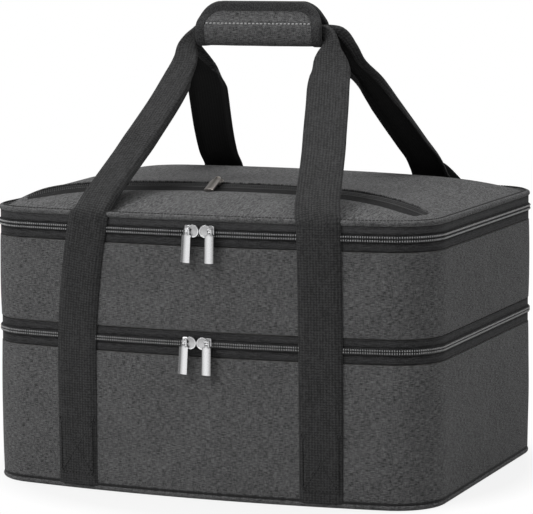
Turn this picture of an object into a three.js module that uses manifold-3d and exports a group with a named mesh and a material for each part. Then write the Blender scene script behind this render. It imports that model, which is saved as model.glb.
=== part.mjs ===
// Casserole carrier with two insulated decks, a lid pocket and two webbing handles, in millimetres.
// X runs along the front, the front faces -Y, Z is up, and the origin is the middle of the flat bottom.
import * as THREE from 'three';
import { mergeVertices } from 'three/addons/utils/BufferGeometryUtils.js';
import Module from 'manifold-3d';

// Body in plan: straight sides, bowed front and rear faces, round corners
const bodyWidth = 400;
const bodyDepth = 334;
const faceBowRadius = 1140;
const cornerRadius = 42;
const cornerSteps = 5;
const faceSteps = 6;

// Layers of the walls
const gap = 0.3;
const fabric = 1.2;
const foam = 5;
const foil = 0.8;
const board = 2;
const dividerFoam = 6;
const baseFoam = 4;
const lidFoam = 6;

// Heights of the two zips, their bands and the lid's edge
const midZipHeight = 130.3;
const topZipHeight = 221.8;
const bandHalfHeight = 10.8;
const lidEdgeHeight = 234;
const lidRise = 17;
const pocketDepth = 0.7;

// The crown's shape: how sharply it falls at the front and elsewhere, and where its rings of points lie
const domeFrontPower = 3.5;
const domeRearPower = 8;
const domeRingShares = [1, 0.96, 0.88, 0.75, 0.55, 0.3];

// Piping round the bottom edge and the lid's edge
const pipingDiameter = 4.4;
const pipingStandOut = 0.6;
const pipingLift = 0.4;
const pipingSides = 6;

// Zip tape and teeth
const tapeThickness = 0.8;
const tapeInset = 0.4;
const teethHeight = 2.3;
const teethThickness = 1;
const zipEndAtRear = 150;

// Webbing and the handles
const webbingWidth = 38;
const webbingThickness = 2.4;
const strapSpacing = 220;
const stitchedHeight = 64;
const looseHeight = 100;
const strapStandOff = 1.1;
const looseShare = 0.8;
const bundleHeight = 12;
const bundleThickness = 5.7;
const gripSpacing = 6.5;
const gripHeight = 380.2;

// How the webbing bends in over the lid's edge: distance out from its flat run, and height above the edge
const edgeBend = [[-0.5, 4.5], [-5.5, 9], [-13.5, 15.5]];

// The legs of the handles from the lid to the wrap, one row a place: distance from the middle along X and
// along Y, height, width, thickness, and how many degrees the width has turned from level towards upright
const frontLeftLeg = [
  [83.6, 105, 283, 34, 2.5, 0], [79.5, 88, 299, 33.5, 2.5, 0], [75.5, 57, 322.5, 31, 2.7, 0],
  [73.6, 36, 338.6, 28.5, 3, 0], [72.3, 24, 349.5, 25, 3.4, 3], [72.8, 14, 358.5, 21, 4, 10],
  [74, 8, 368.5, 15, 4.7, 26], [70.4, 4.2, 375.4, 12, 5.2, 50], [66.6, 3.3, 379.4, 12, 5.6, 80],
];
const frontRightLeg = [
  [90.2, 105, 285, 38, 2.4, 0], [83.4, 83, 302.4, 38, 2.4, 0], [75.3, 57, 321, 38, 2.4, 0],
  [69.4, 38.5, 337, 38, 2.5, 0], [65.4, 25, 349, 36.5, 2.7, 0], [62.8, 18, 356, 31, 3.1, 3],
  [60, 14.2, 361.8, 22.5, 3.7, 8], [61.4, 8.7, 369.4, 14, 4.8, 22], [58, 4.3, 376, 12, 5.2, 52],
  [54.6, 3.3, 379.8, 12, 5.6, 80],
];
const rearLeftLeg = [
  [102.5, 127, 266, 38, 2.4, 0], [96.5, 103, 286, 38, 2.4, 0], [85.5, 67, 315, 37, 2.5, 0],
  [76, 35, 340, 32, 2.9, 0], [73.5, 21, 354, 24, 3.6, 5], [74, 12, 364.5, 15.5, 4.6, 12],
  [74, 7.5, 371, 12, 5, 25], [70, 4.2, 376.4, 12, 5.2, 50], [66.6, 3.4, 379.6, 12, 5.6, 80],
];
const rearRightLeg = [
  [97.4, 127, 266, 35, 2.4, 0], [91.5, 103, 286, 34, 2.5, 0], [84, 67, 315, 33, 2.6, 0],
  [76, 38, 341, 33, 2.7, 3], [67.5, 21, 357, 28, 2.9, 10], [67, 10, 368, 24, 3.3, 28],
  [61.5, 5, 376, 18, 3.9, 55], [56, 3.7, 379.6, 13, 5, 84],
];

// How far towards the middle the front handle's webbing has leant at the lid's edge
const leftLean = 13.5;
const rightLean = 1.5;
const leanShares = [0.4, 0.75, 1];

// Grip wrap
const wrapLength = 117;
const wrapShift = -6.2;
const wrapBottom = 367.8;
const wrapHeight = 38.3;
const wrapPanel = 4;
const wrapHalfThickness = 11.4;
const wrapTopHalfThickness = 5.9;
const wrapFoldHeight = 8.2;
const wrapFoldShares = [[0.53, 0], [0.84, 0.28], [1, 1]];
const wrapInnerFoldShares = [[0.6, 0], [0.9, 0.28], [1, 1]];
const wrapSeam = 4;
const wrapBulge = 18.4;
const wrapNeck = 8;
const wrapCornerRadius = 20;
const bindingWidth = 8.5;
const bindingStandOut = 0.6;
const closureHeight = 10;
const closureThickness = 1.3;
const closureEndMargin = 12;

// Sliders and pulls
const sliderLength = 13.4;
const sliderShoulder = 1.5;
const sliderHeight = 8.6;
const sliderBase = 2.2;
const sliderDiscDiameter = 10.5;
const sliderDiscThickness = 1.2;
const sliderDiscSides = 18;
const sliderSink = 0.03;
const sliderEndShare = 0.45;
const bailOffset = 4.6;
const bailBar = 1.6;
const bailPost = 1.1;
const bailGap = 4.7;
const eyeDiameter = 3.8;
const eyeClearance = 0.35;
const pullWidth = 8.2;
const pullThickness = 2.2;
const pullLength = 26;
const pullNeck = 4.5;
const neckThicknessShare = 0.7;
const pullFlatShare = 0.8;
const sliderFromMiddle = 5.5;
const midPairShift = 3.8;
const topPairShift = 7;

// Lid pocket: its zip is an arc seen from above
const pocketArcRadius = 370;
const pocketFromFront = 101;
const pocketArcFront = pocketFromFront - bodyDepth / 2;
const pocketBandWidth = 17;
const pocketTeethWidth = 5.4;
const pocketTeethShift = 4.5;
const pocketSlope = 0.08;
const pocketZipAngle = 29;
const pocketPatchAngle = 50;
const pocketPatchGap = 0.1;
const pocketStepAngle = 4;
const pocketSliderAngle = -3.4;
const pocketPullLength = 24;
const pocketPullDroop = 8;

const overrun = 5;

const foilMetalness = 0.6;
const foilRoughness = 0.4;

const colours = {
  heather: 0x4d4d50, heatherDark: 0x3f3f42, tape: 0x2b2b2d, teeth: 0x38383a, webbing: 0x2e2e31,
  binding: 0x1d1d1f, metal: 0xd5d6d8, nickel: 0xa8a29c, foil: 0xbfc3c7, foam: 0xe4e2dc,
  board: 0x8a8a86, piping: 0x55555a, closure: 0x161617,
};

const wasm = await Module();
wasm.setup();

// Small tools

const radians = THREE.MathUtils.degToRad;
const point = (x, y, z) => new THREE.Vector3(x, y, z);

function mesh(name, geometry, colour, metalness = 0, roughness = 0.9) {
  const material = new THREE.MeshStandardMaterial({ color: colour, metalness, roughness });
  const made = new THREE.Mesh(geometry, material);
  made.name = name;
  return made;
}

function group(...children) {
  const made = new THREE.Group();
  made.add(...children);
  return made;
}

function signedVolume(positions, faces) {
  let sum = 0;
  for (let i = 0; i < faces.length; i += 3) {
    const [a, b, c] = [0, 1, 2].map((k) => point(...positions.slice(3 * faces[i + k], 3 * faces[i + k] + 3)));
    sum += a.dot(b.clone().cross(c));
  }
  return sum;
}

function toGeometry(positions, faces) {
  const geometry = new THREE.BufferGeometry();
  geometry.setAttribute('position', new THREE.Float32BufferAttribute(positions, 3));
  geometry.setIndex(faces);
  geometry.computeVertexNormals();
  return geometry;
}

// Faces between two loops of points, and across one loop
function sideFaces(from, to, count) {
  const faces = [];
  for (let i = 0; i < count; i += 1) {
    const j = (i + 1) % count;
    faces.push(from + i, from + j, to + j, from + i, to + j, to + i);
  }
  return faces;
}

function capFaces(from, count) {
  const faces = [];
  for (let i = 1; i < count - 1; i += 1) faces.push(from, from + i, from + i + 1);
  return faces;
}

function closedBody(loops, faces) {
  const positions = loops.flat().flatMap((p) => [p.x, p.y, p.z]);
  if (signedVolume(positions, faces) < 0) faces.reverse();
  return toGeometry(positions, faces);
}

// One closed body through a row of loops with equal counts of points: open ends get flat caps
function skin(loops, closed = false) {
  const count = loops[0].length;
  const faces = [];
  const rows = closed ? loops.length : loops.length - 1;
  for (let row = 0; row < rows; row += 1) {
    faces.push(...sideFaces(row * count, ((row + 1) % loops.length) * count, count));
  }
  if (!closed) faces.push(...capFaces(0, count).reverse(), ...capFaces((loops.length - 1) * count, count));
  return closedBody(loops, faces);
}

// A sheet whose top runs from its edge loop inwards and whose underside is the same surface lowered
function loweredSheet(loops, thickness) {
  const count = loops[0].length;
  const total = loops.length * count;
  const top = [];
  for (let row = 0; row < loops.length - 1; row += 1) {
    top.push(...sideFaces(row * count, (row + 1) * count, count));
  }
  top.push(...capFaces((loops.length - 1) * count, count));
  const under = top.map((i) => i + total).reverse();
  const lowered = loops.map((loop) => loop.map((p) => point(p.x, p.y, p.z - thickness)));
  return closedBody([...loops, ...lowered], [...top, ...under, ...sideFaces(total, 0, count)]);
}

function toSolid(geometry) {
  const bare = geometry.clone();
  bare.deleteAttribute('normal');
  if (bare.getAttribute('uv')) bare.deleteAttribute('uv');
  const merged = mergeVertices(bare);
  return new wasm.Manifold(new wasm.Mesh({
    numProp: 3,
    vertProperties: new Float32Array(merged.getAttribute('position').array),
    triVerts: new Uint32Array(merged.getIndex().array),
  }));
}

function fromSolid(solid) {
  const { vertProperties, triVerts } = solid.getMesh();
  return toGeometry(Array.from(vertProperties), Array.from(triVerts));
}

const join = (...parts) => fromSolid(parts.map(toSolid).reduce((a, b) => a.add(b)));
const cut = (body, ...tools) => fromSolid(tools.map(toSolid).reduce((a, b) => a.subtract(b), toSolid(body)));
const common = (...parts) => fromSolid(parts.map(toSolid).reduce((a, b) => a.intersect(b)));

function box(x0, x1, y0, y1, z0, z1) {
  const made = new THREE.BoxGeometry(x1 - x0, y1 - y0, z1 - z0);
  return made.translate((x0 + x1) / 2, (y0 + y1) / 2, (z0 + z1) / 2);
}

// The plan outline, from the rear left corner round the front to the rear right corner and back

const arcCentre = faceBowRadius - bodyDepth / 2;
const cornerX = bodyWidth / 2 - cornerRadius;
const cornerAngle = Math.asin(cornerX / (faceBowRadius - cornerRadius));
const cornerY = (faceBowRadius - cornerRadius) * Math.cos(cornerAngle) - arcCentre;

function faceY(x, inset, side) {
  return side * (Math.sqrt((faceBowRadius - inset) ** 2 - x ** 2) - arcCentre);
}

function arcPoints(cx, cy, radius, from, to, steps) {
  return Array.from({ length: steps + 1 }, (_, i) => {
    const angle = from + ((to - from) * i) / steps;
    return new THREE.Vector2(cx + radius * Math.cos(angle), cy + radius * Math.sin(angle));
  });
}

function corners(inset) {
  const r = cornerRadius - inset;
  const half = Math.PI / 2;
  return [
    arcPoints(-cornerX, cornerY, r, half + cornerAngle, 2 * half, cornerSteps),
    arcPoints(-cornerX, -cornerY, r, 2 * half, 3 * half - cornerAngle, cornerSteps),
    arcPoints(cornerX, -cornerY, r, 3 * half + cornerAngle, 4 * half, cornerSteps),
    arcPoints(cornerX, cornerY, r, 0, half - cornerAngle, cornerSteps),
  ];
}

function facePoints(inset, side) {
  const middle = side * Math.PI / 2;
  const spread = side * cornerAngle;
  const cy = -side * arcCentre;
  return arcPoints(0, cy, faceBowRadius - inset, middle - spread, middle + spread, faceSteps).slice(1, -1);
}

function outline(inset) {
  const [rearLeft, frontLeft, frontRight, rearRight] = corners(inset);
  const front = facePoints(inset, -1).reverse();
  const rear = facePoints(inset, 1);
  return [...rearLeft, ...frontLeft, ...front, ...frontRight, ...rearRight, ...rear];
}

const ring = (inset, z) => outline(inset).map((p) => point(p.x, p.y, z));

// Plain layers that follow the outline

const plate = (inset, z0, z1) => skin([ring(inset, z0), ring(inset, z1)]);

function wall(outer, inner, z0, z1) {
  return skin([ring(outer, z0), ring(outer, z1), ring(inner, z1), ring(inner, z0)], true);
}

// A lining with a floor, like a tub
function lining(floor, rim) {
  return skin([
    ring(foilOuter, floor), ring(foilOuter, rim), ring(foilInner, rim), ring(foilInner, floor + foil),
  ]);
}

function piping(z) {
  const radius = pipingDiameter / 2;
  const loops = Array.from({ length: pipingSides }, (_, i) => {
    const angle = (i * 2 * Math.PI) / pipingSides;
    return ring(radius - pipingStandOut - radius * Math.cos(angle), z + radius * Math.sin(angle));
  });
  return skin(loops, true);
}

// A band round the sides and the front, open at the rear
function band(outer, inner, z0, z1) {
  const path = (inset) => {
    const [rearLeft, frontLeft, frontRight, rearRight] = corners(inset);
    const start = new THREE.Vector2(-zipEndAtRear, faceY(zipEndAtRear, inset, 1));
    const end = new THREE.Vector2(zipEndAtRear, faceY(zipEndAtRear, inset, 1));
    const front = facePoints(inset, -1).reverse();
    return [start, ...rearLeft, ...frontLeft, ...front, ...frontRight, ...rearRight, end];
  };
  return stations(path(outer), path(inner), z0, z1);
}

// The strip of cloth across the rear face, between the ends of a zip
function rearStrip(outer, inner, z0, z1) {
  const end = zipEndAtRear - gap;
  const path = (inset) => [new THREE.Vector2(end, faceY(end, inset, 1)), ...facePoints(inset, 1),
    new THREE.Vector2(-end, faceY(end, inset, 1))];
  return stations(path(outer), path(inner), z0, z1);
}

function stations(outer, inner, z0, z1) {
  return skin(outer.map((o, i) => [
    point(o.x, o.y, z0), point(o.x, o.y, z1),
    point(inner[i].x, inner[i].y, z1), point(inner[i].x, inner[i].y, z0),
  ]));
}

// Depths of the layers, measured inwards from the outer face
const foamOuter = fabric + gap;
const foamInner = foamOuter + foam;
const foilOuter = foamInner + gap;
const foilInner = foilOuter + foil;
const tapeInner = tapeInset + tapeThickness;
const teethInner = tapeInset - gap;
const teethOuter = teethInner - teethThickness;
const pipingInner = pipingDiameter - pipingStandOut + gap;
const pipingTop = pipingLift + pipingDiameter * Math.sin(Math.PI / 3);
const halfGap = gap / 2;

// Lower deck

const lowerBottom = pipingTop + gap;
const bandBottom = (zip) => zip - bandHalfHeight;
const bandTop = (zip) => zip + bandHalfHeight - 2 * gap;

function lowerDeck() {
  const boardBottom = fabric + gap;
  const boardTop = boardBottom + board;
  const foamBottom = boardTop + gap;
  const foamTop = foamBottom + baseFoam;
  const liningFloor = foamTop + gap;
  const wallBottom = Math.max(lowerBottom, foamBottom);
  const rim = midZipHeight - halfGap;
  return group(
    mesh('bottom_panel', plate(pipingInner, 0, fabric), colours.heatherDark),
    mesh('bottom_piping', piping(pipingLift + (pipingTop - pipingLift) / 2), colours.piping),
    mesh('lower_wall', wall(0, fabric, lowerBottom, bandBottom(midZipHeight) - gap), colours.heather),
    mesh('lower_foam', wall(foamOuter, foamInner, wallBottom, rim), colours.foam),
    mesh('base_board', plate(pipingInner, boardBottom, boardTop), colours.board),
    mesh('base_foam', plate(foilOuter, foamBottom, foamTop), colours.foam),
    mesh('lower_liner', lining(liningFloor, rim), colours.foil, foilMetalness, foilRoughness),
    mesh('mid_tape_lower', band(tapeInset, tapeInner, bandBottom(midZipHeight), rim), colours.tape),
    mesh('mid_teeth_lower', band(teethOuter, teethInner, rim - teethHeight, rim), colours.teeth),
    mesh('mid_fold_strip', rearStrip(0, fabric, bandBottom(midZipHeight), bandTop(midZipHeight)),
      colours.heather),
  );
}

// Upper deck

function upperDeck() {
  const floor = midZipHeight + halfGap;
  const boardBottom = floor + foil + gap;
  const boardTop = boardBottom + dividerFoam;
  const liningFloor = boardTop + gap;
  const rim = topZipHeight - halfGap;
  const shellBottom = bandTop(midZipHeight) + gap;
  return group(
    mesh('divider_lining', plate(foamOuter, floor, floor + foil), colours.foil, foilMetalness, foilRoughness),
    mesh('divider_foam_board', plate(foamOuter, boardBottom, boardTop), colours.foam),
    mesh('upper_wall', wall(0, fabric, shellBottom, bandBottom(topZipHeight) - gap), colours.heather),
    mesh('upper_foam', wall(foamOuter, foamInner, liningFloor, rim), colours.foam),
    mesh('upper_liner', lining(liningFloor, rim), colours.foil, foilMetalness, foilRoughness),
    mesh('mid_tape_upper', band(tapeInset, tapeInner, floor, bandTop(midZipHeight)), colours.tape),
    mesh('mid_teeth_upper', band(teethOuter, teethInner, floor, floor + teethHeight), colours.teeth),
    mesh('top_tape_lower', band(tapeInset, tapeInner, bandBottom(topZipHeight), rim), colours.tape),
    mesh('top_teeth_lower', band(teethOuter, teethInner, rim - teethHeight, rim), colours.teeth),
    mesh('top_fold_strip', rearStrip(0, fabric, bandBottom(topZipHeight), lidBandTop), colours.heather),
  );
}

// Lid

const lidPipingHeight = lidEdgeHeight;
const lidBandTop = lidPipingHeight - (pipingDiameter / 2) * Math.sin(Math.PI / 3) - gap;
const domeInset = pipingInner;
const domeEdge = outline(domeInset);

// How far out a place lies on the lid: 0 in the middle and 1 at the edge
function edgeShare(x, y) {
  let share = 0;
  domeEdge.forEach((a, i) => {
    const b = domeEdge[(i + 1) % domeEdge.length];
    const normalX = b.y - a.y;
    const normalY = a.x - b.x;
    share = Math.max(share, (normalX * x + normalY * y) / (normalX * a.x + normalY * a.y));
  });
  return share;
}

// The lid's crown: flat to near the sides and the rear, and sloping down to the front
function domeHeight(x, y) {
  const share = edgeShare(x, y);
  if (share === 0) return lidEdgeHeight + lidRise;
  const frontShare = THREE.MathUtils.clamp((-2 * y) / (share * bodyDepth), 0, 1);
  const power = THREE.MathUtils.lerp(domeRearPower, domeFrontPower, frontShare);
  return lidEdgeHeight + lidRise * (1 - share ** power);
}

function domeRing(share, drop) {
  return domeEdge.map((p) => point(p.x * share, p.y * share, domeHeight(p.x * share, p.y * share) - drop));
}

const domeRings = (drop) => domeRingShares.map((share) => domeRing(share, drop));
const domeSheet = (drop, thickness) => loweredSheet(domeRings(drop), thickness);

// A layer under the lid's cover that reaches out to the zip tape
function lidLayer(drop, thickness) {
  return loweredSheet([ring(foamOuter, lidEdgeHeight - drop - gap), ...domeRings(drop)], thickness);
}

// A sector of a ring about the pocket arc's centre, as a tall prism
function pocketSector(inner, outer, fromAngle, toAngle) {
  const cy = pocketArcFront - pocketArcRadius;
  const steps = Math.max(2, Math.round((toAngle - fromAngle) / pocketStepAngle));
  const turn = (angle) => Math.PI / 2 - radians(angle);
  const rim = arcPoints(0, cy, outer, turn(fromAngle), turn(toAngle), steps);
  const inside = inner > 0 ? arcPoints(0, cy, inner, turn(toAngle), turn(fromAngle), steps)
    : [new THREE.Vector2(0, cy)];
  const shape = new THREE.Shape([...rim, ...inside]);
  const height = lidRise + 2 * overrun;
  const solid = new THREE.ExtrudeGeometry(shape, { depth: height, bevelEnabled: false });
  return solid.translate(0, 0, lidEdgeHeight - overrun);
}

function lid() {
  const bottom = topZipHeight + halfGap;
  const foamDrop = fabric + pocketDepth + foil + gap;
  const halfBand = pocketBandWidth / 2;
  const cover = domeSheet(0, fabric);
  const half = pocketPatchAngle;
  const rimOut = pocketArcRadius + halfBand + gap;
  const rimIn = pocketArcRadius - halfBand - gap;
  const bandSector = (from, to) => pocketSector(rimIn + gap, rimOut - gap, from, to);
  const teethIn = pocketArcRadius + pocketTeethShift - pocketTeethWidth / 2;
  const patchStart = pocketZipAngle + pocketPatchGap;
  return group(
    mesh('top_tape_upper', band(tapeInset, tapeInner, bottom, lidBandTop), colours.tape),
    mesh('top_teeth_upper', band(teethOuter, teethInner, bottom, bottom + teethHeight), colours.teeth),
    mesh('lid_liner', lidLayer(foamDrop + lidFoam + gap, foil), colours.foil, foilMetalness, foilRoughness),
    mesh('lid_foam', lidLayer(foamDrop, lidFoam), colours.foam),
    mesh('lid_piping', piping(lidPipingHeight), colours.piping),
    mesh('pocket_lining', domeSheet(fabric + pocketDepth, foil), colours.heatherDark),
    mesh('lid_cover', cut(cover, pocketSector(0, rimOut, -half, half)), colours.heather),
    mesh('pocket_panel', common(cover, pocketSector(0, rimIn, -half, half)), colours.heather),
    mesh('pocket_tape', common(domeSheet(gap, fabric - gap), bandSector(-pocketZipAngle, pocketZipAngle)),
      colours.tape),
    mesh('pocket_teeth', common(domeSheet(-teethThickness, teethThickness),
      pocketSector(teethIn, teethIn + pocketTeethWidth, -pocketZipAngle, pocketZipAngle)),
    colours.teeth),
    mesh('pocket_end_left', common(cover, bandSector(-half, -patchStart)), colours.heather),
    mesh('pocket_end_right', common(cover, bandSector(patchStart, half)), colours.heather),
  );
}

// Sliders: travel along X, the face they sit on is Z = 0, and their pull hangs towards -Y

const bailHeight = sliderBase + sliderDiscThickness + gap + eyeDiameter / 2;

function roundedPlate(width, height, radius, thickness) {
  const shape = new THREE.Shape();
  const [w, h] = [width / 2 - radius, height / 2 - radius];
  shape.absarc(w, h, radius, 0, Math.PI / 2);
  shape.absarc(-w, h, radius, Math.PI / 2, Math.PI);
  shape.absarc(-w, -h, radius, Math.PI, 1.5 * Math.PI);
  shape.absarc(w, -h, radius, 1.5 * Math.PI, 2 * Math.PI);
  return new THREE.ExtrudeGeometry(shape, { depth: thickness, bevelEnabled: false, curveSegments: 3 });
}

function sliderGeometry(side) {
  const base = roundedPlate(sliderLength, sliderHeight, sliderHeight * sliderEndShare, sliderBase)
    .translate(side * sliderShoulder, 0, 0);
  const discRadius = sliderDiscDiameter / 2;
  const disc = new THREE.CylinderGeometry(discRadius, discRadius, sliderDiscThickness, sliderDiscSides);
  disc.rotateX(Math.PI / 2).translate(0, 0, sliderBase + sliderDiscThickness / 2 - sliderSink);
  const centre = side * bailOffset;
  const reach = bailGap / 2 + bailPost;
  const bar = new THREE.CylinderGeometry(bailBar / 2, bailBar / 2, 2 * reach - bailPost, 8);
  bar.rotateZ(Math.PI / 2).translate(centre, 0, bailHeight);
  const posts = [-1, 1].map((end) => {
    const inner = centre + end * (bailGap / 2);
    const outer = centre + end * reach;
    return box(Math.min(inner, outer), Math.max(inner, outer), -bailBar, bailBar, sliderBase / 2,
      bailHeight + bailBar / 2);
  });
  return join(base, disc, bar, ...posts);
}

function pullGeometry(length) {
  const eyeWidth = bailGap - 2 * gap;
  const hole = new THREE.Path().absarc(0, 0, bailBar / 2 + eyeClearance, 0, 2 * Math.PI, true);
  const rim = new THREE.Shape().absarc(0, 0, eyeDiameter / 2, 0, 2 * Math.PI);
  rim.holes.push(hole);
  const eye = new THREE.ExtrudeGeometry(rim, { depth: eyeWidth, bevelEnabled: false, curveSegments: 7 });
  eye.rotateY(Math.PI / 2).translate(-eyeWidth / 2, 0, 0);
  const half = pullThickness / 2;
  const neckTop = -(bailBar / 2 + eyeClearance + gap);
  const neck = box(-eyeWidth / 2, eyeWidth / 2, -pullNeck - half, neckTop,
    -half * neckThicknessShare, half * neckThicknessShare);
  const section = new THREE.Shape();
  section.moveTo(-pullWidth / 2, -half * pullFlatShare);
  section.lineTo(pullWidth / 2, -half * pullFlatShare);
  section.lineTo(pullWidth / 2, 0);
  section.absellipse(0, 0, pullWidth / 2, half, 0, Math.PI);
  const tab = new THREE.ExtrudeGeometry(section, {
    depth: length - pullNeck - 2 * gap, bevelEnabled: true, bevelThickness: gap, bevelSize: gap,
    bevelOffset: -gap, bevelSegments: 1, curveSegments: 4,
  });
  tab.rotateX(Math.PI / 2).translate(0, -pullNeck - gap, 0);
  return join(eye, neck, tab);
}

// A slider and its pull on the front face, over a zip at a height
function frontSlider(prefix, sideName, side, zip, pairShift) {
  const standOff = gap - teethOuter;
  const x = pairShift + side * sliderFromMiddle;
  const radius = faceBowRadius + standOff;
  const angle = Math.asin(x / radius);
  const place = new THREE.Group();
  const slider = mesh(`${prefix}_slider_${sideName}`, sliderGeometry(side), colours.metal, 1, 0.25);
  const pull = mesh(`${prefix}_pull_${sideName}`, pullGeometry(pullLength), colours.metal, 1, 0.25);
  pull.position.set(side * bailOffset, 0, bailHeight);
  place.add(slider, pull);
  place.rotation.set(Math.PI / 2, 0, 0);
  place.position.set(0, -radius, 0);
  const carried = new THREE.Group();
  carried.add(place);
  carried.rotation.z = angle;
  carried.position.set(0, arcCentre, zip);
  return carried;
}

function pocketSlider() {
  const tilt = Math.atan(pocketSlope);
  const radius = (pocketArcRadius + pocketTeethShift) / Math.cos(tilt);
  const place = new THREE.Group();
  const slider = mesh('pocket_slider', sliderGeometry(0), colours.nickel, 1, 0.35);
  const pull = mesh('pocket_pull', pullGeometry(pocketPullLength), colours.nickel, 1, 0.35);
  pull.position.set(0, 0, bailHeight);
  pull.rotation.x = radians(pocketPullDroop);
  place.add(slider, pull);
  place.position.set(0, radius, teethThickness + gap);
  const turned = group(place);
  turned.rotation.z = radians(-pocketSliderAngle);
  const carried = group(turned);
  carried.rotation.x = tilt;
  carried.position.set(0, pocketArcFront - pocketArcRadius,
    domeHeight(0, pocketArcFront) - pocketArcRadius * pocketSlope);
  return carried;
}

// Webbing

const strapX = strapSpacing / 2;
const strapTilt = strapX / faceBowRadius;
const strapFace = (side) => faceY(strapX, 0, side);

// A flat piece of webbing on the front or rear face, turned to the bow of the face
function facePiece(side, end, z0, z1) {
  const half = webbingWidth / 2;
  const outer = gap + webbingThickness;
  const row = (z) => [[-half, gap], [half, gap], [half, outer], [-half, outer]]
    .map(([along, out]) => {
      const x = end * strapX + along;
      return point(x, faceY(Math.abs(x), -out, side), z);
    });
  return skin([row(z0), row(z1)]);
}

// The webbing of one leg up to the wrap, for the handle on a side: -1 is the front and 1 the rear
function leg(side, start, loose, rows, lean = 0) {
  const onFace = (x) => Math.abs(faceY(x, 0, side)) + gap + webbingThickness / 2;
  const [topX, , topZ] = rows[0];
  const edgeX = strapX - lean;
  const alongX = (z) => {
    if (z > lidEdgeHeight) return THREE.MathUtils.mapLinear(z, lidEdgeHeight, topZ, edgeX, topX);
    return strapX - lean * (Math.max(0, z - loose) / (lidEdgeHeight - loose)) ** 2;
  };
  const plain = (out, z) => [alongX(z), onFace(alongX(z)) + out, z, webbingWidth, webbingThickness, 0];
  return [
    plain(0, start), plain(0, start + gap),
    plain(strapStandOff * looseShare, loose),
    ...leanShares.map((share) => plain(
      strapStandOff, THREE.MathUtils.lerp(loose, lidEdgeHeight, share),
    )),
    ...edgeBend.map(([out, up]) => plain(out, lidEdgeHeight + up)),
    ...rows,
  ].map(([x, y, z, width, thickness, turn]) => ({ at: point(x, side * y, z), width, thickness, turn }));
}

// A handle from its left end to its right end, through the wrap
function handle(side, start, loose, leftRows, rightRows, leans = [0, 0]) {
  const inside = wrapLength / 2 - gap;
  const grip = (x) => ({
    at: point(x, (side * gripSpacing) / 2, gripHeight),
    width: bundleHeight, thickness: bundleThickness, turn: 90,
  });
  const left = leg(side, start, loose, leftRows, leans[0]).map((s) => ({ ...s, at: s.at.setX(-s.at.x) }));
  const right = leg(side, start, loose, rightRows, leans[1]).map((s) => ({ ...s, turn: 180 - s.turn })).reverse();
  const middle = [grip(wrapShift - inside), grip(wrapShift), grip(wrapShift + inside)];
  return ribbon([...left, ...middle, ...right], side * strapTilt);
}

const upperShare = (z) => THREE.MathUtils.clamp((z - lidEdgeHeight) / (gripHeight - lidEdgeHeight), 0, 1);

function ribbon(sections, tilt) {
  const loops = sections.map((s, i) => {
    const before = sections[Math.max(0, i - 1)].at;
    const after = sections[Math.min(sections.length - 1, i + 1)].at;
    const along = after.clone().sub(before).normalize();
    const turn = radians(s.turn);
    const bow = tilt * (1 - upperShare(s.at.z));
    const across = point(Math.cos(turn), Math.abs(Math.cos(turn)) * bow, -Math.sin(turn));
    across.addScaledVector(along, -across.dot(along)).normalize();
    const normal = along.clone().cross(across).normalize();
    return [[-1, -1], [1, -1], [1, 1], [-1, 1]].map(([a, n]) => s.at.clone()
      .addScaledVector(across, (a * s.width) / 2).addScaledVector(normal, (n * s.thickness) / 2));
  });
  return skin(loops);
}

function sewnStraps() {
  const pieces = [];
  for (const [end, name] of [[-1, 'left'], [1, 'right']]) {
    pieces.push(mesh(`front_strap_end_${name}`, facePiece(-1, end, lowerBottom, stitchedHeight),
      colours.webbing));
    pieces.push(mesh(`rear_strap_end_${name}`, facePiece(1, end, lowerBottom, midZipHeight - halfGap),
      colours.webbing));
  }
  return pieces;
}

function rearStrapRuns() {
  return [[-1, 'left'], [1, 'right']].map(([end, name]) => mesh(`rear_strap_run_${name}`,
    facePiece(1, end, midZipHeight + halfGap, topZipHeight - halfGap), colours.webbing));
}

// Grip wrap: a padded panel folded up round both grips and closed along its top edge

const wrapTop = wrapBottom + wrapHeight;

// One side of the wrap's section, from a start near the bottom fold's middle: distance out, and height
function wrapSide(start, standOut) {
  const foldTop = wrapBottom + wrapFoldHeight;
  const neckBottom = wrapBottom + wrapBulge;
  const foldLine = (shares, out, low) => shares.map(([a, b]) => [a * out, low + b * (foldTop - low)]);
  const upLine = (drop) => [
    [wrapHalfThickness - drop, neckBottom], [wrapTopHalfThickness - drop, neckBottom + wrapNeck],
    [wrapTopHalfThickness - drop, wrapTop],
  ];
  const low = wrapBottom - standOut;
  const lowInside = wrapBottom + wrapPanel;
  const outer = [
    [start, low], ...foldLine(wrapFoldShares, wrapHalfThickness + standOut, low), ...upLine(-standOut),
  ];
  const inner = [
    [start, lowInside], ...foldLine(wrapInnerFoldShares, wrapHalfThickness - wrapPanel, lowInside),
    ...upLine(wrapPanel),
  ];
  return [...outer, ...inner.reverse()];
}

const closureStart = wrapTopHalfThickness - wrapPanel - gap - closureThickness;

function wrapPrism(lines, mirror) {
  const shape = new THREE.Shape(lines.map(([out, z]) => new THREE.Vector2(mirror * out, z)));
  const solid = new THREE.ExtrudeGeometry(shape, { depth: wrapLength + 2 * overrun, bevelEnabled: false });
  solid.rotateX(Math.PI / 2).rotateZ(Math.PI / 2);
  return solid.translate(wrapShift - wrapLength / 2 - overrun, 0, 0);
}

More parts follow.
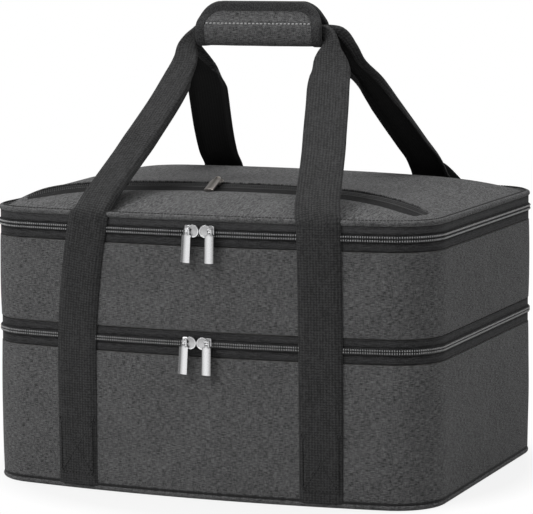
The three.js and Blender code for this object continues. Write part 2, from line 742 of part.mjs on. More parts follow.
// The wrap's outline seen from the front, square at the bottom and round at the top corners
function wrapFace(inset) {
  const half = wrapLength / 2 - inset;
  const radius = wrapCornerRadius - inset;
  const top = wrapTop - inset;
  const low = wrapBottom - overrun;
  const shape = new THREE.Shape();
  shape.moveTo(-half, low);
  shape.lineTo(half, low);
  shape.absarc(half - radius, top - radius, radius, 0, Math.PI / 2);
  shape.absarc(-half + radius, top - radius, radius, Math.PI / 2, Math.PI);
  const depth = 2 * (wrapHalfThickness + overrun);
  const solid = new THREE.ExtrudeGeometry(shape, { depth, bevelEnabled: false, curveSegments: 5 });
  return solid.rotateX(Math.PI / 2).translate(wrapShift, depth / 2, 0);
}

function wrap() {
  const panel = (lines, mirror) => common(wrapPrism(lines, mirror), wrapFace(bindingWidth + gap));
  const edge = (lines, mirror) => cut(common(wrapPrism(lines, mirror), wrapFace(0)), wrapFace(bindingWidth));
  const closure = (side) => {
    const reach = wrapLength / 2 - closureEndMargin;
    const low = wrapTop - bindingWidth - closureHeight / 2;
    const near = side < 0 ? -closureStart - closureThickness : closureStart;
    return box(wrapShift - reach, wrapShift + reach, near, near + closureThickness, low, low + closureHeight);
  };
  const flapStart = wrapSeam + gap;
  return group(
    mesh('wrap_back', panel(wrapSide(-wrapSeam, 0), 1), colours.heather),
    mesh('wrap_back_binding', edge(wrapSide(-wrapSeam, bindingStandOut), 1), colours.binding),
    mesh('wrap_loop_strip', closure(1), colours.closure),
    mesh('wrap_flap', panel(wrapSide(flapStart, 0), -1), colours.heather),
    mesh('wrap_flap_binding', edge(wrapSide(flapStart, bindingStandOut), -1), colours.binding),
    mesh('wrap_hook_strip', closure(-1), colours.closure),
  );
}

// The whole carrier

const carrier = group(
  lowerDeck(), ...sewnStraps(),
  frontSlider('mid', 'left', -1, midZipHeight, midPairShift),
  frontSlider('mid', 'right', 1, midZipHeight, midPairShift),
  upperDeck(), ...rearStrapRuns(),
  frontSlider('top', 'left', -1, topZipHeight, topPairShift),
  frontSlider('top', 'right', 1, topZipHeight, topPairShift),
  lid(), pocketSlider(),
  mesh('front_handle', handle(-1, stitchedHeight + gap, looseHeight, frontLeftLeg, frontRightLeg,
    [leftLean, rightLean]), colours.webbing),
  mesh('rear_handle', handle(1, topZipHeight + halfGap, topZipHeight + bandHalfHeight / 2,
    rearLeftLeg, rearRightLeg), colours.webbing),
  wrap(),
);

export default carrier;
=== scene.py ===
"""Two-deck casserole carrier: cloth, webbing, zips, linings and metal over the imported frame, in metres."""
import math

import bpy
import numpy as np
from mathutils import Matrix, Vector, noise


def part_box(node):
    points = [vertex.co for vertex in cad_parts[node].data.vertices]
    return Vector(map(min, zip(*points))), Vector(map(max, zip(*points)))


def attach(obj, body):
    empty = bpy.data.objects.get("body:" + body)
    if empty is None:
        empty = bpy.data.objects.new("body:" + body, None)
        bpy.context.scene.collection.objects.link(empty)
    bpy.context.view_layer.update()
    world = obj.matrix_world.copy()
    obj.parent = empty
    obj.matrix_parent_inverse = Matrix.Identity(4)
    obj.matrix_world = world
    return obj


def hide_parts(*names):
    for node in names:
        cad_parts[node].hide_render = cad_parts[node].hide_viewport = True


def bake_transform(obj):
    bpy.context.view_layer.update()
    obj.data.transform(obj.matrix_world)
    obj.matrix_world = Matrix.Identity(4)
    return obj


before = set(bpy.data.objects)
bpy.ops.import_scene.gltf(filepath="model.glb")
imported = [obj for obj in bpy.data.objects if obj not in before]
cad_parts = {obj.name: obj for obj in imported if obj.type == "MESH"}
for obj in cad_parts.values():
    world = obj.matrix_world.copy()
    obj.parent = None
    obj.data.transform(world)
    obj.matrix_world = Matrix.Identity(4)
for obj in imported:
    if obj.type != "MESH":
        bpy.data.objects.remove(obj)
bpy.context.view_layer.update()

bl_info = {
    "name": "Casserole carrier",
    "version": (1, 0, 0),
    "blender": (4, 5, 0),
    "location": "3D View > Sidebar > Carrier",
    "description": "Builds the cloth, webbing, zips and metal of a two-deck casserole carrier",
    "category": "Object",
}

MM = 0.001
TINY = 1e-6

# The body in plan, as the frame has it
BODY_WIDTH, BODY_DEPTH = 400 * MM, 334 * MM
BOW_RADIUS, CORNER_RADIUS = 1140 * MM, 42 * MM
CORNER_X = BODY_WIDTH / 2 - CORNER_RADIUS
BOW_CENTRE = BOW_RADIUS - BODY_DEPTH / 2
CORNER_TURN = math.asin(CORNER_X / (BOW_RADIUS - CORNER_RADIUS))
CORNER_Y = (BOW_RADIUS - CORNER_RADIUS) * math.cos(CORNER_TURN) - BOW_CENTRE

# Heights
WALL_BOTTOM = 4.4 * MM
MID_ZIP, TOP_ZIP = 130.3 * MM, 221.8 * MM
BAND_HALF = 10.8 * MM
LID_EDGE, LID_RISE = 234 * MM, 17 * MM
HINGE_Y = 168.2 * MM

# Layers, measured inwards from the outer face
CLOTH = 1.2 * MM
GAP = 0.3 * MM
FOAM_OUT, FOAM_IN = 1.5 * MM, 6.5 * MM
LINING_IN = 7.2 * MM
DOME_INSET = 4.1 * MM

# Zips
TAPE_OUT, TAPE_IN = 0.4 * MM, 1.1 * MM
ZIP_END = 150.4 * MM
CHAIN_HEIGHT = 2.3 * MM
# How far the rows of sewing lie from each zip's middle; on the deck zips they stand out over the coil
SEWING = {"mid": 1.1 * MM, "top": 1.5 * MM, "pocket": 3.2 * MM}
SEWING_OUT = 0.8 * MM
COIL_OUT = 0.35 * MM

# The pocket's zip is an arc seen from above
POCKET_RADIUS = 370 * MM
POCKET_CENTRE = -436 * MM
POCKET_ZIP_TURN = math.radians(29)
POCKET_CHAIN_RADIUS = 374.5 * MM
POCKET_SLIDER_TURN = math.radians(-3.4)
RIM_IN, RIM_OUT = POCKET_RADIUS - 8.8 * MM, POCKET_RADIUS + 8.8 * MM
# Beyond this turn, in degrees, the cover's step at the zip fades, over the second figure
STEP_FADE, STEP_FADE_OVER = 26, 6
# How far the step reaches into the panel and into the cover
PANEL_FALL, COVER_FALL = 18 * MM, 22 * MM

# How sharply the crown falls at the lid's edge: the higher, the flatter the lid and the sharper its edge
CROWN_REAR, CROWN_LEFT, CROWN_RIGHT, CROWN_FRONT = 8, 13, 4, 3.5

# Webbing: its middle stands STRAP_OUT off the wall where it is sewn, and LOOSE_OUT more where it is loose
STRAP_X = 110 * MM
WEB, WEB_THICK = 38 * MM, 2.4 * MM
STRAP_OUT, LOOSE_OUT = 1.5 * MM, 1.1 * MM
STITCHED = 60 * MM
GRIP_Z, GRIP_Y = 380.2 * MM, 3.25 * MM
# How far the left and right legs lean towards the middle at the lid's edge, in front (-1) and at the rear (1)
LEANS = {-1: (13.5 * MM, 1.5 * MM), 1: (-1.5 * MM, 15 * MM)}

# Grip wrap
WRAP_HALF, WRAP_SHIFT = 58.5 * MM, -6.2 * MM
WRAP_LOW = 367.8 * MM
WRAP_CORNER = 24 * MM
WRAP_SEAM = 0.53
# Half the wrap's outline seen from its end, in millimetres out from the middle and up
WRAP_LINE = [(11.4 * 0.53, 0), (11.4 * 0.84, 2.3), (11.4, 8.2), (11.4, 18.4), (5.9, 26.4), (5.9, 38.3)]

# The legs of the handles: distance from the middle along X and Y, height, width, thickness, degrees of turn
FRONT_LEFT_LEG = [
    (85.4, 105, 283, 35, 2.5, 0), (80.3, 88, 299, 34, 2.5, 0), (75.5, 57, 322.5, 31, 2.7, 0),
    (73.6, 36, 338.6, 28.5, 3, 0), (72.3, 24, 349.5, 25, 3.4, 3), (72.8, 14, 358.5, 21.5, 4, 10),
    (74, 8, 366.5, 18, 4.6, 28), (71.5, 4.6, 373, 14, 5.2, 50), (66.6, 3.4, 378, 12, 5.6, 80),
]
FRONT_RIGHT_LEG = [
    (90.2, 105, 285, 38, 2.4, 0), (83.4, 83, 302.4, 38, 2.4, 0), (75.3, 57, 321, 38, 2.4, 0),
    (69.4, 38.5, 337, 38, 2.5, 0), (65.4, 25, 349, 36.5, 2.7, 0), (62.6, 18, 356, 32, 3.1, 3),
    (60.9, 13, 362.5, 25, 3.7, 6), (60.2, 9, 369, 17.5, 4.5, 14), (58.4, 5, 376, 12.5, 5.2, 45),
    (54.6, 3.6, 380, 12, 5.6, 80),
]
REAR_LEFT_LEG = [
    (103.5, 130.2, 263.4, 38, 2.4, 0), (96.8, 104.5, 284.1, 38, 2.4, 0), (88.8, 79.2, 304.4, 38, 2.4, 0),
    (80.7, 54.6, 324.2, 38, 2.4, 0), (77, 42.5, 334, 37.5, 2.5, 0), (74.5, 31, 343.5, 33, 2.9, 0),
    (73.2, 20, 354.5, 23.5, 3.6, 5), (74, 12, 364.5, 15.5, 4.6, 12), (74, 7.5, 371, 12, 5, 25),
    (70, 4.2, 376.4, 12, 5.2, 50), (66.6, 3.4, 379.6, 12, 5.6, 80),
]
REAR_RIGHT_LEG = [
    (98.6, 129, 265, 35.5, 2.4, 0), (95.2, 110.4, 279.3, 33, 2.4, 0), (90.2, 86.1, 298.9, 31.5, 2.4, 0),
    (85.2, 62.2, 318.1, 29, 2.4, 0), (79.9, 38.8, 336.9, 27.5, 2.5, 3), (70.5, 21, 352.5, 25, 2.7, 10),
    (67.2, 11, 365, 23, 3.1, 28), (62.8, 5.8, 376, 19, 3.8, 52), (56, 3.7, 380, 13, 5, 84),
]

# How the webbing bends in over the lid's edge: distance out from its flat run, and height above the edge
EDGE_BEND = ((0.6, 0), (-2.5, 5.5), (-7.5, 11), (-14.5, 17.3))

# Points round the body's outline
COLUMNS = 420
# Shares of the way out to the edge at which a flat layer has its rings
LAYER_RINGS = [1, 0.97, 0.9, 0.75, 0.5, 0.25, 0]
LID_RINGS = [1, 0.985, 0.96, 0.92, 0.86, 0.78, 0.68, 0.56, 0.42, 0.28, 0.14, 0]


# Sizes and colours that a user would change

def length(name, description, default):
    return bpy.props.FloatProperty(name=name, description=description, default=default, min=0, unit="LENGTH",
                                   precision=5)


def colour(name, description, shade):
    """A colour property whose default is given by its three displayed shares."""
    linear = [((c + 0.055) / 1.055) ** 2.4 if c > 0.04045 else c / 12.92 for c in shade]
    return bpy.props.FloatVectorProperty(name=name, description=description, default=linear, size=3,
                                         subtype="COLOR", min=0, max=1)


class CarrierSizes(bpy.types.PropertyGroup):
    """Sizes of the carrier's soft forms and small parts."""
    wall_puff: length("Wall puff", "How far the walls swell between the straps", 0.9 * MM)
    piping_diameter: length("Piping diameter", "Diameter of the piping on the edges", 4.8 * MM)
    tooth_pitch: length("Tooth pitch", "Distance from one zip tooth to the next", 1.75 * MM)
    tooth_width: length("Tooth width", "Width of one zip tooth", 1.05 * MM)
    dot_pitch: length("Zip stitch pitch", "Distance between the stitches beside a zip", 2.0 * MM)
    stitch_length: length("Stitch length", "Length of a visible stitch", 2.1 * MM)
    stitch_pitch: length("Stitch pitch", "Distance from one stitch to the next", 3.6 * MM)
    thread: length("Thread diameter", "Diameter of the sewing thread", 0.7 * MM)
    webbing: length("Webbing thickness", "Thickness of the webbing", 2.2 * MM)
    step_up: length("Pocket step up", "How far the lid's cover stands above the crown at the pocket zip", 2.9 * MM)
    step_down: length("Pocket step down", "How far the pocket panel dips at its zip", 2.7 * MM)
    wrap_puff: length("Wrap puff", "How far the grip wrap's padding swells", 0.9 * MM)


class CarrierColours(bpy.types.PropertyGroup):
    """Colours of the carrier's finishes."""
    heather_dark: colour("Heather, dark yarn", "Dark yarn of the outer cloth", (0.165, 0.165, 0.167))
    heather_light: colour("Heather, light yarn", "Light yarn of the outer cloth", (0.45, 0.45, 0.452))
    tape: colour("Zip tape", "Woven tape of the zips", (0.19, 0.19, 0.193))
    teeth: colour("Zip teeth", "Coil of the zips", (0.19, 0.19, 0.193))
    webbing: colour("Webbing", "Straps and handles", (0.18, 0.18, 0.182))
    binding: colour("Binding", "Edge binding of the grip wrap", (0.2, 0.2, 0.203))
    thread: colour("Thread", "Light grey sewing thread", (0.68, 0.68, 0.68))
    zip_thread: colour("Zip thread", "Thread beside the zips", (0.7, 0.7, 0.703))
    pocket_thread: colour("Pocket thread", "Thread beside the pocket's zip", (0.3, 0.3, 0.302))
    dark_thread: colour("Dark thread", "Thread of the strap seams", (0.09, 0.09, 0.092))
    foil: colour("Foil lining", "Insulating lining", (0.78, 0.79, 0.8))
    foam: colour("Foam", "Foam layers", (0.88, 0.87, 0.84))
    board: colour("Board", "Stiff base board", (0.45, 0.44, 0.42))
    steel: colour("Bright metal", "Front sliders and pulls", (0.93, 0.93, 0.935))
    nickel: colour("Nickel", "Pocket slider and pull", (0.72, 0.7, 0.68))


class CarrierStage(bpy.types.PropertyGroup):
    """Lamps and backdrop."""
    key: bpy.props.FloatProperty(name="Key lamp", description="Power of the large soft lamp", default=75,
                                 min=0, unit="POWER")
    fill: bpy.props.FloatProperty(name="Fill lamp", description="Power of the lamp above", default=36,
                                  min=0, unit="POWER")
    surround: bpy.props.FloatProperty(name="Surround", description="Strength of the room's even light",
                                      default=0.38, min=0)


def sizes():
    return bpy.context.scene.carrier_sizes


def colours():
    return bpy.context.scene.carrier_colours


# The plan outline, as a path from the middle of the rear face round by the left side

def arc(cx, cy, radius, start, end):
    def spot(distance):
        angle = start + distance / radius
        normal = Vector((math.cos(angle), math.sin(angle)))
        return Vector((cx, cy)) + normal * radius, normal
    return radius * (end - start), spot


def straight(side):
    def spot(distance):
        return Vector((side * BODY_WIDTH / 2, side * (distance - CORNER_Y))), Vector((side, 0))
    return 2 * CORNER_Y, spot


QUARTER = math.pi / 2
PATH = [
    arc(0, -BOW_CENTRE, BOW_RADIUS, QUARTER, QUARTER + CORNER_TURN),
    arc(-CORNER_X, CORNER_Y, CORNER_RADIUS, QUARTER + CORNER_TURN, 2 * QUARTER),
    straight(-1),
    arc(-CORNER_X, -CORNER_Y, CORNER_RADIUS, 2 * QUARTER, 3 * QUARTER - CORNER_TURN),
    arc(0, BOW_CENTRE, BOW_RADIUS, 3 * QUARTER - CORNER_TURN, 3 * QUARTER + CORNER_TURN),
    arc(CORNER_X, -CORNER_Y, CORNER_RADIUS, 3 * QUARTER + CORNER_TURN, 4 * QUARTER),
    straight(1),
    arc(CORNER_X, CORNER_Y, CORNER_RADIUS, 0, QUARTER - CORNER_TURN),
    arc(0, -BOW_CENTRE, BOW_RADIUS, QUARTER - CORNER_TURN, QUARTER),
]
PERIMETER = sum(run for run, _ in PATH)
STRAP_ARC = BOW_RADIUS * math.asin(STRAP_X / BOW_RADIUS)
STRAP_PLACES = [STRAP_ARC, PERIMETER / 2 - STRAP_ARC, PERIMETER / 2 + STRAP_ARC, PERIMETER - STRAP_ARC]


def around(distance, inset=0.0):
    """The outline's point at a distance along it, moved inwards, and the outward direction there."""
    left = distance % PERIMETER
    for run, spot in PATH:
        if left <= run:
            break
        left -= run
    point, normal = spot(left)
    return point - normal * inset, normal


def face_y(x, inset, side):
    """Where the front (-1) or rear (1) face lies at a place along X."""
    return side * (math.sqrt((BOW_RADIUS - inset) ** 2 - x ** 2) - BOW_CENTRE)


def edge_y(x, inset):
    """How far behind the middle the outline, moved inwards, lies at a place along X."""
    across = abs(x)
    if across < (BOW_RADIUS - inset) * math.sin(CORNER_TURN):
        return face_y(x, inset, 1)
    reach = CORNER_RADIUS - inset
    return CORNER_Y + math.sqrt(max(0.0, reach ** 2 - (across - CORNER_X) ** 2))


def smooth(x):
    """A soft step from 0 to 1."""
    t = min(1.0, max(0.0, x))
    return t * t * (3 - 2 * t)


# The lid's crown

RING = [around(PERIMETER * i / COLUMNS, DOME_INSET) for i in range(COLUMNS)]
RING_NORMALS = np.array([normal[:] for _, normal in RING])
RING_REACH = np.array([point.dot(normal) for point, normal in RING])


def edge_share(x, y):
    """How far out a place lies on the lid: 0 in the middle and 1 at the edge."""
    return float(np.max((RING_NORMALS @ (x, y)) / RING_REACH))


def pocket_step(x, y):
    """How far the lid's surface stands above the crown near the pocket's zip."""
    radius = math.hypot(x, y - POCKET_CENTRE)
    turn = math.degrees(abs(math.atan2(x, y - POCKET_CENTRE)))
    fade = 1 - smooth((turn - STEP_FADE) / STEP_FADE_OVER)
    up, down = sizes().step_up, sizes().step_down
    if radius <= RIM_IN + 10 * TINY:
        return -down * math.exp((radius - RIM_IN) / PANEL_FALL) * fade
    if radius >= RIM_OUT - 10 * TINY:
        return up * math.exp((RIM_OUT - radius) / COVER_FALL) * fade
    share = (radius - RIM_IN) / (RIM_OUT - RIM_IN)
    return ((-down - 0.3 * MM) * (1 - share) + (up - 1.9 * MM) * share) * fade - 0.5 * MM * (1 - fade)


def crown(x, y):
    """The height of the lid's surface."""
    share = edge_share(x, y)
    front = min(1.0, max(0.0, -2 * y / (share * BODY_DEPTH))) if share > TINY else 0
    sideways = min(1.0, max(-1.0, 2 * x / (share * BODY_WIDTH))) if share > TINY else 0
    power = (CROWN_REAR + (CROWN_LEFT - CROWN_REAR) * max(0, -sideways)
             + (CROWN_RIGHT - CROWN_REAR) * max(0, sideways))
    power += (CROWN_FRONT - power) * front
    return LID_EDGE + LID_RISE * (1 - share ** power) + pocket_step(x, y)


# Modelling

def deselect():
    for other in bpy.context.selected_objects:
        other.select_set(False)


def select(piece):
    deselect()
    piece.select_set(True)
    bpy.context.view_layer.objects.active = piece


def fresh(primitive, scale=(1, 1, 1), **settings):
    """A new primitive whose place and size are in its mesh."""
    deselect()
    primitive(**settings)
    piece = bpy.context.object
    piece.scale = scale
    bpy.ops.object.transform_apply(location=True, rotation=True, scale=True)
    return piece


def named(piece, name):
    piece.name = piece.data.name = name
    return piece


def edit(piece, *steps):
    """Runs edit-mode operators, each given with its settings, on the whole of a piece."""
    select(piece)
    bpy.ops.object.mode_set(mode="EDIT")
    bpy.ops.mesh.select_all(action="SELECT")
    for step, settings in steps:
        step(**settings)
    bpy.ops.object.mode_set(mode="OBJECT")
    return piece


def applied(piece, *modifiers):
    """Adds modifiers, each given as a type and settings, and applies them."""
    select(piece)
    for kind, settings in modifiers:
        modifier = piece.modifiers.new(kind.title(), kind)
        for key, value in settings.items():
            setattr(modifier, key, value)
        bpy.ops.object.modifier_apply(modifier=modifier.name)
    return piece


def thickened(thickness, offset=-1.0):
    return "SOLIDIFY", {"thickness": thickness, "offset": offset}


def edges_rounded(width, degrees=50):
    return "BEVEL", {"width": width, "segments": 2, "limit_method": "ANGLE", "angle_limit": math.radians(degrees)}


def shaded(piece, degrees=50):
    select(piece)
    bpy.ops.object.shade_smooth_by_angle(angle=math.radians(degrees))
    return piece


def pick(piece, test):
    """Selects the faces of a piece that pass a test, and stays in edit mode."""
    select(piece)
    bpy.ops.object.mode_set(mode="EDIT")
    bpy.ops.mesh.select_mode(type="FACE")
    bpy.ops.mesh.select_all(action="DESELECT")
    bpy.ops.object.mode_set(mode="OBJECT")
    for face in piece.data.polygons:
        face.select = test(face)
    bpy.ops.object.mode_set(mode="EDIT")


def tidy(piece, *extra):
    merge = (bpy.ops.mesh.remove_doubles, {"threshold": 2e-6})
    outward = (bpy.ops.mesh.normals_make_consistent, {"inside": False})
    return edit(piece, merge, *extra, outward)


# Steps that close the open ends of a tube, for tidy
END_CAPS = [(bpy.ops.mesh.select_all, {"action": "SELECT"}), (bpy.ops.mesh.fill_holes, {"sides": 0}),
            (bpy.ops.mesh.select_all, {"action": "SELECT"})]


def placed_grid(name, columns, rows, place, flat):
    """A flat grid whose points move to place(u, v); flat(u, v) is each point's place on the cloth."""
    deselect()
    bpy.ops.mesh.primitive_grid_add(x_subdivisions=columns, y_subdivisions=rows, size=1, calc_uvs=True)
    piece = named(bpy.context.object, name)
    mesh = piece.data
    shares = [(vertex.co.x + 0.5, vertex.co.y + 0.5) for vertex in mesh.vertices]
    mesh.vertices.foreach_set("co", np.array([place(u, v) for u, v in shares], dtype=float).ravel())
    cloth = np.array([flat(u, v) for u, v in shares], dtype=float)
    corners = np.zeros(len(mesh.loops), dtype=np.int32)
    mesh.loops.foreach_get("vertex_index", corners)
    mesh.uv_layers[0].data.foreach_set("uv", cloth[corners].ravel())
    mesh.uv_layers[0].name = "cloth"
    mesh.update()
    return piece


def rounded(corners, radius, spacing, steps=3):
    """A closed loop through corners, each rounded, with no stretch longer than a spacing."""
    spots = [Vector(corner) for corner in corners]
    loop = []
    for i, here in enumerate(spots):
        before, after = spots[i - 1], spots[(i + 1) % len(spots)]
        first = here + (before - here).normalized() * min(radius, 0.48 * (before - here).length)
        last = here + (after - here).normalized() * min(radius, 0.48 * (after - here).length)
        for k in range(steps + 1):
            t = k / steps
            loop.append(first * (1 - t) ** 2 + here * (2 * t * (1 - t)) + last * t ** 2)
        run = after + (here - after).normalized() * min(radius, 0.48 * (here - after).length) - last
        count = math.ceil(run.length / spacing)
        loop += [last + run * (k / count) for k in range(1, count)]
    return loop


def runs(loop):
    """The distance along a closed loop at each of its points, and at its return to the start."""
    total = [0.0]
    for a, b in zip(loop, loop[1:] + loop[:1]):
        total.append(total[-1] + (b - a).length)
    return total


def swept(name, loop, start=0.0, end=PERIMETER, columns=COLUMNS, bulge=None):
    """A closed profile of depth inwards and height, carried round the outline."""
    closed_loop, along = loop + loop[:1], runs(loop)
    caps = END_CAPS if end - start < PERIMETER - TINY else []

    def place(u, v):
        distance = start + (end - start) * u
        inset, height = closed_loop[round(v * len(loop))]
        out = bulge(distance, height) if bulge else 0
        point, _ = around(distance, inset - out)
        return point.x, point.y, height

    def flat(u, v):
        return start + (end - start) * u, along[round(v * len(loop))]

    return shaded(tidy(placed_grid(name, columns, len(loop), place, flat), *caps))


def ringed(name, rows, columns=240, wobble=0.0):
    """Rings of points scaled from the outline: each row is a share, a depth inwards, and a height or a
    function of the place that gives it."""
    def place(u, v):
        share, inset, height = rows[round(v * (len(rows) - 1))]
        point, _ = around(PERIMETER * u, inset)
        x, y = point.x * share, point.y * share
        z = height(x, y) if callable(height) else height
        if wobble:
            z += wobble * noise.noise(Vector((x, y, z)) * 45) * min(1, 4 * share)
        return x, y, z

    def flat(u, v):
        x, y, z = place(u, v)
        return x, y + z

    return shaded(tidy(placed_grid(name, columns, len(rows) - 1, place, flat)))


def layer(name, shares, inset, swell, heights, wobble=0.0):
    """A flat layer from one height to another, whose edge swells outwards at the height between them."""
    first, middle, last = heights
    rows = [(s, inset, first) for s in reversed(shares)] + [(1, inset - swell, middle)]
    return ringed(name, rows + [(s, inset, last) for s in shares], wobble=wobble)


def repeated(name, unit, frames):
    """One piece made of copies of a small unit, one at each frame."""
    mesh = unit.data
    points = np.array([vertex.co[:] for vertex in mesh.vertices])
    faces = [tuple(face.vertices) for face in mesh.polygons]
    turned = [points @ np.array(m.to_3x3()).T + np.array(m.translation) for m in frames]
    copies = [tuple(i + k * len(points) for i in face) for k in range(len(frames)) for face in faces]
    whole = bpy.data.meshes.new(name)
    whole.from_pydata(np.concatenate(turned).tolist(), [], copies)
    whole.polygons.foreach_set("use_smooth", [True] * len(whole.polygons))
    unit.data = whole
    unit.name = name
    bpy.data.meshes.remove(mesh)
    return unit


def pose(origin, along, out):
    """A frame at a place: X along, Z out."""
    x = Vector(along).normalized()
    z = Vector(out)
    z = (z - x * z.dot(x)).normalized()
    turn = Matrix((x, z.cross(x), z)).transposed().to_4x4()
    turn.translation = Vector(origin)
    return turn


def stitch_unit():
    """One stitch: a short, flattened thread along X. An inset of all its faces adds none, and swells it."""
    thread, reach = sizes().thread, sizes().stitch_length
    unit = fresh(bpy.ops.mesh.primitive_cylinder_add, vertices=6, radius=thread / 2, depth=reach * 0.7,
                 rotation=(0, QUARTER, 0))
    for vertex in unit.data.vertices:
        vertex.co.z *= 0.8
    return edit(unit, (bpy.ops.mesh.inset, {"thickness": thread * 0.28, "depth": reach * 0.15}))


def tooth_unit():
    """One zip tooth: a short rounded bar, along Y, on its tape."""
    unit = fresh(bpy.ops.mesh.primitive_cube_add, (sizes().tooth_width, CHAIN_HEIGHT, 1.1 * MM), size=1)
    return edit(unit, (bpy.ops.mesh.bevel, {"offset": 0.28 * MM, "segments": 1, "affect": "EDGES"}))


def stitches(name, frames):
    return repeated(name, stitch_unit(), frames)


def level_frames(inset, height, pitch, start, end):
    """Frames along the outline at one height."""
    count = int((end - start) / pitch)
    frames = []
    for i in range(count):
        point, normal = around(start + (i + 0.5) * pitch, inset)
        frames.append(pose((point.x, point.y, height), (-normal.y, normal.x, 0), (normal.x, normal.y, 0)))
    return frames


def keep(piece, finish, body, *nodes):
    """Gives a piece its material and hides the CAD nodes it stands for; it is attached to its body, or, where
    several bodies are given in a tuple, only has its place baked into its mesh.
    """
    piece.data.materials.clear()
    piece.data.materials.append(material(finish))
    if isinstance(body, tuple):
        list(body)
        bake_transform(piece)
    else:
        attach(piece, body)
    if nodes:
        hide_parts(*nodes)
    return piece


# Materials

class Field:
    """A shader value that takes Python's arithmetic."""

    def __init__(self, shader, socket):
        self.shader, self.socket = shader, socket

    def maths(self, operation, *values):
        made = self.shader.node("ShaderNodeMath", {"operation": operation}, dict(enumerate(values)))
        return Field(self.shader, made.outputs[0])

    def __add__(self, other):
        return self.maths("ADD", self, other)

    def __mul__(self, other):
        return self.maths("MULTIPLY", self, other)

    def __sub__(self, other):
        return self.maths("SUBTRACT", self, other)

    def __rsub__(self, other):
        return self.maths("SUBTRACT", other, self)

    def __gt__(self, other):
        return self.maths("GREATER_THAN", self, other)

    def sine(self):
        return self.maths("SINE", self)

    def size(self):
        return self.maths("ABSOLUTE", self)

    def kept(self):
        return self.maths("MINIMUM", self.maths("MAXIMUM", self, 0.0), 1.0)


class Nodes:
    """The nodes of a material or of the world."""

    def __init__(self, owner):
        owner.use_nodes = True
        self.tree = owner.node_tree
        self.tree.nodes.clear()

    def node(self, kind, settings, inputs):
        """A node with its settings and the values or links of its sockets."""
        made = self.tree.nodes.new(kind)
        for key, value in settings.items():
            setattr(made, key, value)
        for key, value in inputs.items():
            self.feed(made.inputs[key], value)
        return made

    def feed(self, socket, value):
        if isinstance(value, Field):
            value = value.socket
        if isinstance(value, bpy.types.NodeSocket):
            self.tree.links.new(value, socket)
        else:
            socket.default_value = value


class Shader(Nodes):
    """The nodes of one material."""

    def __init__(self, name, roughness, **settings):
        self.material = bpy.data.materials.new(f"{name}_finish")
        super().__init__(self.material)
        self.surface = self.node("ShaderNodeBsdfPrincipled", {}, {"Roughness": roughness, **settings})
        self.out = self.node("ShaderNodeOutputMaterial", {}, {"Surface": self.surface.outputs[0]})

    def cloth(self, scale):
        """The piece's own place on its cloth: two values along it and across it."""
        uv = self.node("ShaderNodeUVMap", {"uv_map": "cloth"}, {})
        return self.split(uv.outputs[0], scale)

    def place(self, scale):
        spot = self.node("ShaderNodeTexCoord", {}, {})
        return self.split(spot.outputs["Object"], scale)

    def split(self, vector, scale):
        parts = self.node("ShaderNodeSeparateXYZ", {}, {0: vector})
        return [Field(self, socket) * scale for socket in parts.outputs]

    def noise(self, u, v, w=0.0, detail=2.0, rough=0.5):
        vector = self.node("ShaderNodeCombineXYZ", {}, {0: u, 1: v, 2: w})
        made = self.node("ShaderNodeTexNoise", {}, {"Vector": vector.outputs[0], "Scale": 1.0,
                                                    "Detail": detail, "Roughness": rough})
        return Field(self, made.outputs["Fac"])

    def mix(self, share, first, second):
        made = self.node("ShaderNodeMix", {"data_type": "RGBA"}, {0: share, 6: first, 7: second})
        return made.outputs[2]

    def bump(self, height, strength, distance):
        made = self.node("ShaderNodeBump", {}, {"Strength": strength, "Distance": distance, "Height": height})
        self.feed(self.surface.inputs["Normal"], made.outputs[0])

    def paint(self, paint):
        self.feed(self.surface.inputs["Base Color"], paint)

    def rough(self, value):
        self.feed(self.surface.inputs["Roughness"], value)


def rgba(shade, share=1.0):
    return (shade[0] * share, shade[1] * share, shade[2] * share, 1.0)


def woven(name, dark, light, pitch, contrast):
    """A plain weave with slubby yarns: warp and weft each vary along their own run."""
    shader = Shader(name, 0.92, **{"Sheen Weight": 0.03, "Sheen Roughness": 0.5, "Specular IOR Level": 0.25})
    u, v, _ = shader.cloth(1 / MM)
    over = (u * (math.pi / pitch)).sine() * (v * (math.pi / pitch)).sine()
    _, _, z = shader.place(1 / MM)
    weft = shader.noise(u * 0.22, v * 2.9, 3.1, 1.0)
    warp = shader.noise(u * 2.4, v * 0.3, 9.7, 1.0)
    fleck = shader.noise(u * 2.6, v * 3.0, 5.3, 1.0, rough=0.6)
    coarse = shader.noise(u * 1.1, v * 0.2, 7.7, 2.0, rough=0.7)
    on_lid = (z - (LID_EDGE / MM + 2)).kept() * (LID_EDGE / MM + 60 - z).kept()
    # Painted shade: a dark line low on the walls, just above the bottom piping, stands in for the shadow in the
    # gap between them
    seam = (1 - (z - (WALL_BOTTOM / MM + 0.8)).size() * 0.6).kept()
    cloud = shader.noise(u * 0.03, v * 0.03, 1.7, 2.0)
    yarn = weft * 0.56 + warp * 0.28 + fleck * 0.36 - 0.6 + (coarse - 0.5) * (on_lid * 0.55)
    tone = yarn * contrast + 0.5 + (cloud - 0.5) * 0.3 + over * 0.12 - seam * 1.2
    shader.paint(shader.mix(tone.kept(), rgba(dark), rgba(light)))
    shader.bump(over.size() * 0.5 + weft * 0.4 + warp * 0.4, 0.5, 0.25 * MM)
    return shader.material


def heather(name, pitch, contrast):
    return woven(name, colours().heather_dark, colours().heather_light, pitch, contrast)


def under_cloth(name):
    shade = colours().heather_dark
    return woven(name, rgba(shade, 0.55), rgba(shade, 1.25), 0.8, 3.0)


